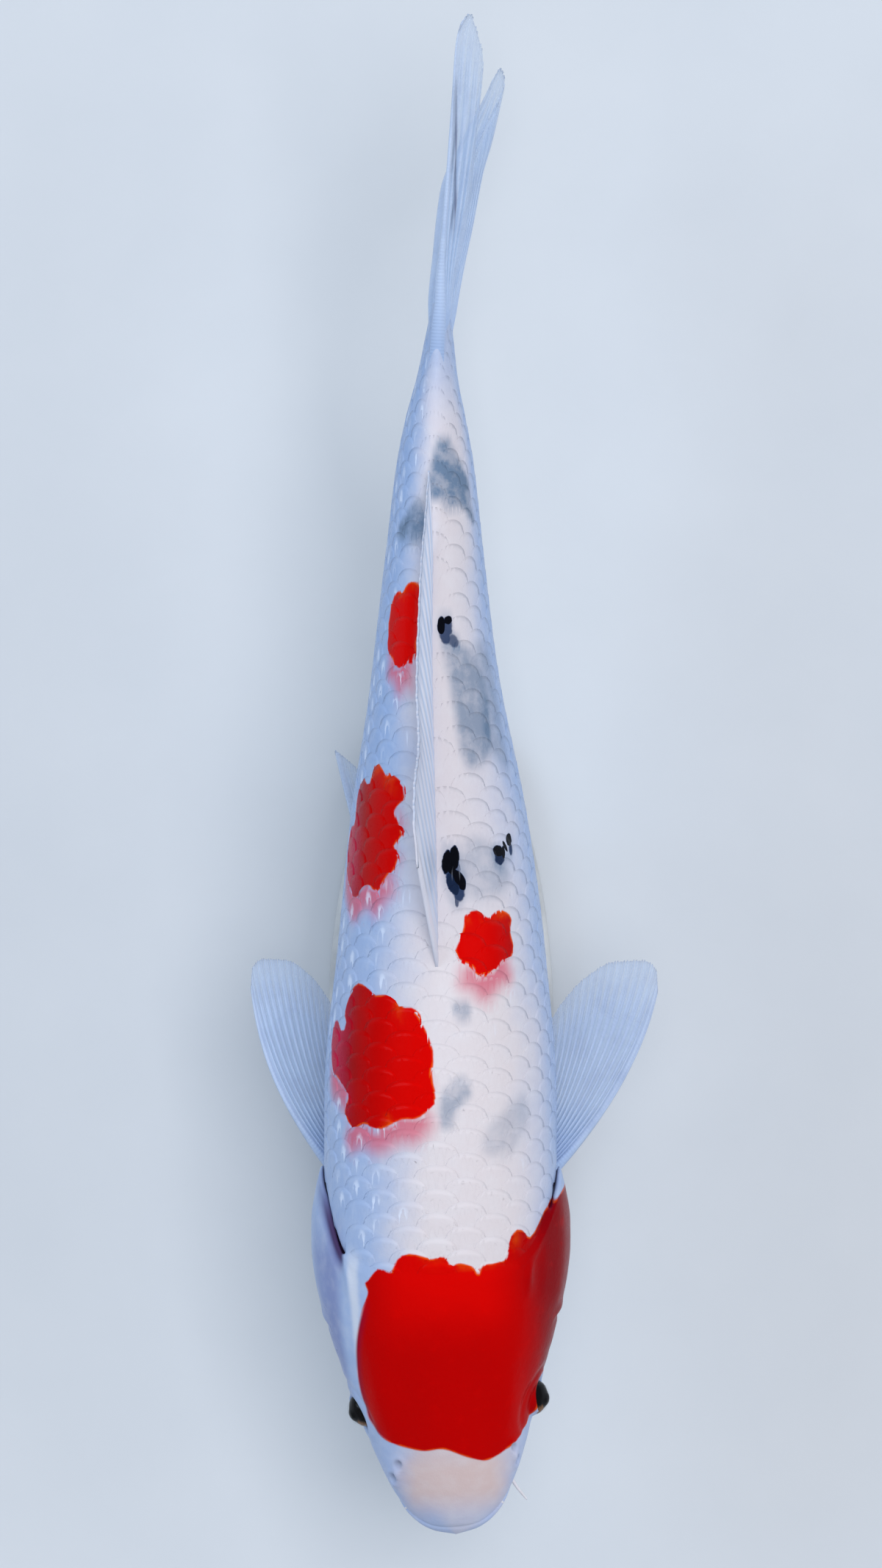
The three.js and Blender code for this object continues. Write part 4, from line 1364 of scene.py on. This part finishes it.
pectoral = {
    # the fin's root and margin from its leading edge, at 0, to its rear edge, at 1, on the left side
    "rootS": profile([[0, 119], [1, 127]]),
    "rootU": profile([[0, 34], [1, 28]]),
    "rootV": profile([[0, -26], [1, -40]]),
    "marginS": profile([
        [0, 186], [0.12, 193], [0.25, 196.5], [0.45, 196], [0.65, 191], [0.85, 182], [1, 170],
    ]),
    "marginU": profile([[0, 74], [0.12, 73.5], [0.25, 69], [0.45, 59], [0.65, 49.5], [0.85, 41], [1, 34]]),
    "marginV": profile([[0, -36], [0.5, -43], [1, -50]]),
    "hinge": 38,  # u that it swings out from
    "bow": (-4, 12, 0),  # how far its middle is bowed at the leading edge
    "bowFade": 0.75,
    "lift": (0, 0, 2),
}
pelvic = {
    "rootS": profile([[0, 203], [1, 213]]),
    "rootU": profile([[0, 19], [1, 9]]),
    "rootV": profile([[0, -41], [1, -47]]),
    "marginS": profile([[0, 270], [0.2, 266.5], [0.6, 256], [1, 240]]),
    "marginU": profile([[0, 37], [0.2, 33], [0.6, 23], [1, 14]]),
    "marginV": profile([[0, -54], [0.5, -60], [1, -62]]),
    "hinge": 12,
    "bow": (0, 2, 0),
    "bowFade": 1,
    "lift": (-2, 0, -3),
}


def pairedSheet(form, side, swung):
    # a is the way round the fin and b the way out; swung is how far it stands out
    def sheet(a, b):
        root, margin = (
            np.stack([form[end + axis](a) for axis in "SUV"], axis=-1) for end in ("root", "margin")
        )
        margin[..., 1] = form["hinge"] + (margin[..., 1] - form["hinge"]) * swung
        bowed = (1 - form["bowFade"] * a)[..., None] * form["bow"] + form["lift"]
        return bow(root, (root + margin) / 2 + bowed, margin, b) * (1, side, 1)
    return sheet


dorsal = {
    "from": 196,
    "to": 334,
    "rise": profile([[0, 40], [0.15, 36], [0.5, 20], [1, 4]]),
    "length": profile([[0, 44], [0.06, 52], [0.14, 50], [0.3, 37], [0.5, 29], [0.8, 26], [1, 29]]),
    "lean": profile([[0, 0.6], [0.3, 1.6], [0.5, 3.4], [0.75, 3.2], [1, 1.2]]),  # of its edge, to the right
    "rootDepth": 7,
}


def dorsalSheet(a, b):
    rootS = mix(dorsal["from"], dorsal["to"], a)
    rise = np.radians(dorsal["rise"](a))
    reach = b * (dorsal["length"](a) + dorsal["rootDepth"]) - dorsal["rootDepth"]
    curl = 0.12 * np.maximum(0, reach) * b
    up = reach * np.sin(rise) - curl + np.where(reach < 0, reach * 0.4, 0)
    lean = -0.2 * np.maximum(0, up) - dorsal["lean"](a) * b * np.maximum(0, b)
    return np.stack([rootS + reach * np.cos(rise), lean, backLine(rootS) + up], axis=-1)


anal = {
    "from": 311,
    "to": 338,
    "length": profile([[0, 40], [0.15, 46], [0.4, 38], [0.7, 29], [1, 25]]),
    "fall": profile([[0, 52], [1, 30]]),
    "rootDepth": 6,
}


def analSheet(a, b):
    rootS = mix(anal["from"], anal["to"], a)
    fall = np.radians(anal["fall"](a))
    reach = b * (anal["length"](a) + anal["rootDepth"]) - anal["rootDepth"]
    down = bellyLine(rootS) - reach * np.sin(fall)
    return np.stack([rootS + reach * np.cos(fall), 2.5 * b * b, down], axis=-1)


tail = {
    "rootS": 400,
    "rootHalf": 21,
    "marginS": profile([
        [-1, 499], [-0.85, 505], [-0.6, 501], [-0.3, 486], [0, 471], [0.3, 486], [0.6, 506], [0.85, 516],
        [1, 511],
    ]),
    "marginV": profile([[-1, -52], [-0.85, -45], [-0.5, -25], [0, 0], [0.5, 27], [0.85, 49], [1, 57]]),
    "rays": [
        # how far the fin swings to the left along five rays, from its lowest to its highest
        profile([[400, 0], [425, -3.9], [444, -2.9], [463, -0.8], [478, 5.4], [495, 14], [505, 18.5]]),
        profile([[400, 0], [414, 2.4], [445, 9.4], [467, 13.8], [478, 16.8], [495, 20.6], [503, 21.8]]),
        profile([[400, 0], [425, 3.4], [447, 8], [471, 11.7]]),
        profile([[400, 0], [425, 2.9], [447, 7.4], [470, 11.1], [487, 13.6], [509, 15.6]]),
        profile([[400, 0], [425, 0.6], [448, 2.3], [471, 4.1], [487, 5.3], [505, 6.6], [519, 10.9]]),
    ],
}


def tailSheet(start, end):
    def sheet(a, b):
        ray = mix(start, end, a)
        s = mix(tail["rootS"] - 3 * ray * ray, tail["marginS"](ray), b)
        v = mix(tail["rootHalf"] * ray, tail["marginV"](ray), b * (1.4 - 0.4 * b))
        between = np.clip((ray + 1) / 2 * (len(tail["rays"]) - 1), 0, len(tail["rays"]) - 1.001)
        lower = between.astype(int)
        share = smooth(0, 1, between - lower)
        swings = np.stack([curve(s) for curve in tail["rays"]])
        one = np.take_along_axis(swings, lower[None], axis=0)[0]
        other = np.take_along_axis(swings, lower[None] + 1, axis=0)[0]
        return np.stack([s, mix(one, other, share), v], axis=-1)
    return sheet


def rayRidge(a, b, rays, firstFork, secondFork):
    # 1 along a ray, 0 on the membrane; each ray forks twice on its way out
    x = np.mod(a * rays, 1) - 0.5
    fork = 0.24 * smooth(firstFork, 1.1, b)
    again = 0.11 * smooth(secondFork, 1.1, b)
    width = mix(0.17, 0.07, smooth(firstFork, 0.95, b))
    branches = [hump(x - one * fork - other * again, width) for one in (-1, 1) for other in (-1, 1)]
    return np.max(branches, axis=0)


finCommon = {
    # what a fin has unless its own lines say otherwise
    "rootThick": 1.5,
    "tipThick": 0.55,
    "film": 0.24,  # how thick the membrane between the rays is
    "pleat": 0.12,
    "fleshy": 0.0,  # how much thicker the root is
    "folded": 0,  # 1 for a fin that is laid together
    # the painted shadow of a fold, where the tail's folds lie over each other
    "foldShadow": None,  # where a dark fold runs
}
fins = {
    # edge is where the strong ray at the fin's front lies
    "fin_dorsal": {
        "sheet": dorsalSheet, "rays": 20, "edge": 0.02, "rootThick": 1.2, "tipThick": 0.9, "film": 0.85,
        "pleat": 0.1, "folded": 1,
    },
    "fin_anal": {
        "sheet": analSheet, "rays": 8, "edge": 0.04, "rootThick": 1.6, "tipThick": 0.7, "fleshy": 1,
    },
    "fin_tail_upper": {
        "sheet": tailSheet(0.006, 1), "rays": 10, "edge": 0.97, "rootThick": 2.0, "tipThick": 0.6,
        "fleshy": 3.2, "foldShadow": profile([[440, 0.7], [470, 0.84], [496, 0.95]]),
    },
    "fin_tail_lower": {
        "sheet": tailSheet(-1, -0.006), "rays": 10, "edge": 0.03, "rootThick": 2.0, "tipThick": 0.6,
        "fleshy": 3.2,
    },
    "fin_pectoral_left": {
        "sheet": pairedSheet(pectoral, 1, 1.0), "rays": 16, "edge": 0.03, "rootThick": 1.8, "fleshy": 2.5,
    },
    "fin_pectoral_right": {
        "sheet": pairedSheet(pectoral, -1, 0.8), "rays": 16, "edge": 0.03, "rootThick": 1.8, "fleshy": 2.5,
    },
    "fin_pelvic_left": {
        "sheet": pairedSheet(pelvic, 1, 0.4), "rays": 9, "edge": 0.05, "rootThick": 1.6, "fleshy": 2,
    },
    "fin_pelvic_right": {
        "sheet": pairedSheet(pelvic, -1, 1.0), "rays": 9, "edge": 0.05, "rootThick": 1.6, "fleshy": 2,
    },
}


def makeFin(name, form):
    rays = form["rays"]
    across, along = rays * 7, 46
    a, b = np.meshgrid(np.linspace(0, 1, across + 1), np.linspace(0, 1, along + 1), indexing="ij")
    ridge = rayRidge(a, b, rays, 0.3, 0.62)
    bitten = 1 - 0.012 * (1 - ridge) * smooth(0.9, 1, b)  # the margin is let in between the rays
    onFin = lambda one, other: place(*np.moveaxis(form["sheet"](one, other), -1, 0))
    points = onFin(a, b * bitten)
    step = 1e-3
    ray = onFin(a, b + step) - onFin(a, b - step)
    crossing = onFin(a + step, b) - onFin(a - step, b)
    normal = unit(np.cross(ray, crossing))
    pleats = form["pleat"] * np.cos(2 * math.pi * a * rays) * smooth(0.05, 0.6, b)
    points = points + normal * pleats[..., None]
    strong = mix(form["rootThick"], form["tipThick"], b)
    lead = hump((a - form["edge"]) * rays, 0.9)
    thick = np.maximum(mix(form["film"], strong, ridge), lead * strong)
    thick = thick + form["fleshy"] * smooth(0.45, 0.0, b)
    half = normal * (thick / 2)[..., None]
    # closed rings run round the sheet, front and behind, and the two ends are closed by strips
    rings = np.concatenate([points + half, (points - half)[::-1]], axis=0).transpose(1, 0, 2)
    count = rings.shape[1]
    faces = gridFaces(along + 1, count)
    last = along * count
    for k in range(across):
        back = count - 1 - k
        faces.append([k + 1, back - 1, back, k])
        faces.append([last + back, last + back - 1, last + k + 1, last + k])
    mesh = makeMesh(name, rings.reshape(-1, 3), faces, finFinish)
    faceOutwards(mesh)
    length = np.linalg.norm(np.diff(points, axis=1), axis=-1).cumsum(axis=1)
    s = form["sheet"](a, b)[..., 0]
    foldShadow = 0 * s
    # painted shadow where the tail's folds lie over each other
    if form["foldShadow"]:
        foldShadow = hump(a - form["foldShadow"](s), 0.022) * smooth(438, 450, s) * smooth(498, 484, s)
    layers = {
        "ray": np.maximum(ridge, lead),
        "out": b,
        "foldShadow": foldShadow,
        "folded": form["folded"] + 0 * a,
        "reach": np.pad(length, ((0, 0), (1, 0))),
    }
    for layer, values in layers.items():
        writeFloat(mesh, layer, np.concatenate([values, values[::-1]], axis=0).T)
    return mesh


for name, form in fins.items():
    addPiece(f"{name}_rays", makeFin(name, {**finCommon, **form}), "fin", name)
print("fins ready")


def eyeMesh(name, centre, axis, radiusAt, material):
    # rings round the eye's axis, from the middle of the pupil to the back of the ball
    rings, columns = eyeForm["rings"], eyeForm["columns"]
    overhead = unit(np.cross(axis, np.cross((0, 0, 1), axis)))
    aside = np.cross(axis, overhead)
    polar = np.linspace(0, 180, rings + 2)
    turn = np.linspace(0, 2 * math.pi, columns, endpoint=False)
    p, q = np.meshgrid(np.radians(polar[1:-1]), turn, indexing="ij")
    up, along = np.sin(p) * np.cos(q), np.sin(p) * np.sin(q)
    lie = np.cos(p)[..., None] * axis + up[..., None] * overhead + along[..., None] * aside
    points = centre + lie * radiusAt(np.degrees(p))[..., None]
    first, last = centre + axis * radiusAt(polar[0]), centre - axis * radiusAt(polar[-1])
    faces = gridFaces(rings, columns) + poleFaces(rings, columns)
    mesh = makeMesh(name, np.vstack([points.reshape(-1, 3), first, last]), faces, material)
    faceOutwards(mesh)
    writeFloat(mesh, "polar", np.concatenate([np.degrees(p).ravel(), polar[[0, -1]]]) / 90)
    # black above and behind, else gold; the right eye has less gold
    high = 0.6 * up + 1.1 * (lie @ np.array((0, 1.0, 0))) + 0.3 * (axis[0] < 0)
    writeFloat(mesh, "high", np.concatenate([high.ravel(), [0, 0]]))
    return mesh


def ballRadius(degrees):
    iris = 0.3 * smooth(eyeForm["iris"], eyeForm["lens"] + 4, degrees)
    lens = 0.4 * smooth(eyeForm["lens"] + 2, eyeForm["lens"] - 20, degrees)
    return eyeRadius - 0.15 - iris + lens


def corneaRadius(degrees):
    return eyeRadius - 0.05 + eyeForm["corneaLift"] * smooth(66, 8, degrees)


for sideName, centre in eyeCentres.items():
    axis = eyeAxis(sideName)
    ball = eyeMesh(f"ball_{sideName}", centre, axis, ballRadius, eyeFinish)
    addPiece(f"eye_{sideName}_ball", ball, "eye", f"eye_{sideName}")
    cornea = eyeMesh(f"cornea_{sideName}", centre, axis, corneaRadius, corneaFinish)
    addPiece(f"eye_{sideName}_cornea", cornea, "eye")
print("eyes ready")


feelers = {
    # the radius of each one's root, and points along it as s, u and v
    "barbel_corner_left": (0.7, [
        [18.5, 17.6, -21.5], [16.2, 20.2, -21.8], [13.2, 22, -22.4], [9, 24.8, -24.4],
    ]),
    "barbel_corner_right": (0.7, [[20, -17.5, -21.5], [19.5, -20.5, -24], [19, -21, -29.5], [21, -21, -35]]),
    "barbel_lip_left": (0.55, [[11, 14.5, -12], [9.5, 16.4, -14.5], [9, 16, -18.5], [10.5, 15, -22.5]]),
    "barbel_lip_right": (0.55, [
        [11, -14.5, -12], [9.5, -16.4, -14.5], [9, -16, -18.5], [10.5, -15, -22.5],
    ]),
}
feelerForm = {
    "along": 26,
    "around": 14,
    "nearTip": 0.28,  # the radius towards the tip, and at it
    "tip": 0.12,
    "swelling": 0.15,
}


def makeFeeler(name, rootRadius, points):
    form = feelerForm
    along, around = form["along"], form["around"]
    points = place(*np.array(points, float).T)
    padded = np.vstack([2 * points[0] - points[1], points, 2 * points[-1] - points[-2]])
    t = np.linspace(0, 3, along) * 0.999999
    i = t.astype(int)
    line = throughPoints(*(padded[i + k] for k in range(4)), (t - i)[:, None])
    ahead = unit(np.gradient(line, axis=0))
    aside = unit(np.cross(np.broadcast_to((0, 0, 1.0), ahead.shape), ahead))
    upward = np.cross(ahead, aside)
    share = t / 3
    radius = rootRadius * (1 - share) ** 0.7 + form["nearTip"] * share
    radius = radius * (1 + 0.05 * np.sin(share * 40)) + form["swelling"] * hump(share - 0.3, 0.12)
    radius[-1] = form["tip"]
    turn = np.linspace(0, 2 * math.pi, around, endpoint=False)[None, :, None]
    spokes = np.cos(turn) * aside[:, None] + np.sin(turn) * upward[:, None]
    ring = line[:, None] + radius[:, None, None] * spokes
    faces = gridFaces(along, around) + capFaces(along, around)
    mesh = makeMesh(name, ring.reshape(-1, 3), faces, feelerFinish)
    faceOutwards(mesh)
    return mesh


for name, (radius, points) in feelers.items():
    addPiece(f"{name}_skin", makeFeeler(name, radius, points), "mouth", name)
print("barbels ready")


standForm = {
    "baseColumns": 160,
    "rodColumns": 40,
    # how far in from the rim, how high
    "baseSteps": [
        (1.2, 0), (0.2, 0.8), (0, 2), (0, 9.4), (0.5, 10.8), (1.6, 11.7), (3.2, 12), (5, 12), (5.6, 11.5),
        (6.6, 11.5), (7.2, 12),
    ],
    "collar": [(7.4, 12), (7.4, 13.6), (6.6, 14.6), (4.6, 15), (4.3, 15.6)],  # radius, height
    "rodFoot": 16,  # height where a rod comes out of its collar
    "rodTop": (-2, 2.5, 3),  # its last rings, against the top of the solid, inside the fish
    "wear": 0.7,
}


def boxOf(node):
    low, high = (np.array(corner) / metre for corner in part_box(node))
    return (low + high) / 2, (high - low) / 2, high[2]


def lathe(name, middle, outline, columns, material):
    # closed, from rings round an upright axis, lowest first: both radii and the height of each
    turn = np.linspace(0, 2 * math.pi, columns, endpoint=False)
    x, y = np.cos(turn), np.sin(turn)
    rings = [
        np.column_stack([middle[0] + a * x, middle[1] + b * y, np.full(columns, height)])
        for a, b, height in outline
    ]
    faces = gridFaces(len(rings), columns) + capFaces(len(rings), columns)
    mesh = makeMesh(name, np.vstack(rings), faces, material)
    faceOutwards(mesh)
    mesh.set_sharp_from_angle(angle=math.radians(35))
    return mesh


def makeBase():
    middle, half, _ = boxOf("stand_base")
    steps, columns = standForm["baseSteps"], standForm["baseColumns"]
    outline = [(half[0] - inset, half[1] - inset, height) for inset, height in steps]
    mesh = lathe("standBase", middle, outline, columns, standFinish)
    worn = [standForm["wear"] * hump(inset - 1.4, 1.2) * (height > 8) for inset, height in steps]
    writeFloat(mesh, "wear", np.repeat(worn, columns))
    return mesh


def makeRod(name):
    middle, half, top = boxOf(name)
    outline = standForm["collar"] + [(half[0], standForm["rodFoot"])]
    outline += [(half[0], top + lift) for lift in standForm["rodTop"]]
    rings = [(radius, radius, height) for radius, height in outline]
    return lathe(name, middle, rings, standForm["rodColumns"], rodFinish)


addPiece("stand_base_painted", makeBase(), "base_paint", "stand_base")
for name in ("stand_rod_front", "stand_rod_rear"):
    addPiece(f"{name}_steel", makeRod(name), "rod_steel", name)
print("stand ready")


studio = {
    "floorHalf": 4.0,
    "floorColours": (colour(196, 201, 208), colour(204, 208, 214)),
    "cameraAbove": 3.0,  # above the fish's axis
    "cameraY": 0.0868,
    "frameHeight": 0.5352,  # what the frame takes in at the axis, along Y
    "lights": {
        # place, size, power, colour
        "top": ((0.5, 0.15, 3.4), 1.5, 62, (1.0, 0.975, 0.955)),
        "left": ((-1.8, 0.6, 1.5), 1.4, 19, (0.68, 0.84, 1.0)),
        "right": ((1.9, 0.1, 1.3), 1.5, 14, (0.84, 0.92, 1.0)),
        "rim": ((0.1, 2.1, 0.9), 1.0, 6, (0.88, 0.94, 1.0)),
    },
    "sky": (0.84, 0.91, 1.0),
    "skyStrength": 0.42,
    "shining": ("left",),  # the light that the wet skin mirrors
    "litAt": (0, 0.05),  # where the lights are aimed, at the axis
    "sensor": 36,
}


def floorBuild(graph):
    cloud = graph.noise(60, 4, 0.55)
    grain = graph.noise(2.5, 3)
    base = graph.mix(cloud, studio["floorColours"][0], studio["floorColours"][1])
    return {"Base Color": base, "Roughness": 0.7 + cloud * 0.1, "Normal": graph.bump(grain, 0.1, 0.3)}


def makeFloor():
    count = 13
    steps = np.linspace(-studio["floorHalf"], studio["floorHalf"], count) / metre
    x, y = np.meshgrid(steps, steps)
    points = np.stack([x, y, 0 * x], axis=-1).reshape(-1, 3)
    paper = finish("floorPaper", floorBuild, gloss["plain"])
    addHelper("floor", makeMesh("floor", points, gridFaces(count, count, closed=False), paper))


def aim(thing, target):
    thing.rotation_mode = "QUATERNION"
    thing.rotation_quaternion = (Vector(target) - thing.location).to_track_quat("-Z", "Y")


def makeLights():
    for name, (at, size, power, tint) in studio["lights"].items():
        light = bpy.data.lights.new(name, "AREA")
        light.size, light.energy, light.color = size, power, tint
        lamp = addHelper(name, light)
        lamp.location = at
        lamp.visible_glossy = name in studio["shining"]
        aim(lamp, (*studio["litAt"], fish["axisHeight"] * metre))
    world = bpy.data.worlds.new("studio")
    world.use_nodes = True
    backdrop = world.node_tree.nodes["Background"]
    backdrop.inputs["Color"].default_value = (*studio["sky"], 1)
    backdrop.inputs["Strength"].default_value = studio["skyStrength"]
    bpy.context.scene.world = world


def makeCamera():
    camera = addHelper("camera", bpy.data.cameras.new("camera"))
    camera.location = (0, studio["cameraY"], fish["axisHeight"] * metre + studio["cameraAbove"])
    camera.data.sensor_width = studio["sensor"]
    camera.data.lens = studio["sensor"] * studio["cameraAbove"] / studio["frameHeight"]
    camera.data.clip_end = 20
    bpy.context.scene.camera = camera


makeFloor()
makeLights()
makeCamera()
bpy.context.scene.view_settings.view_transform = "Standard"

print("scene ready")
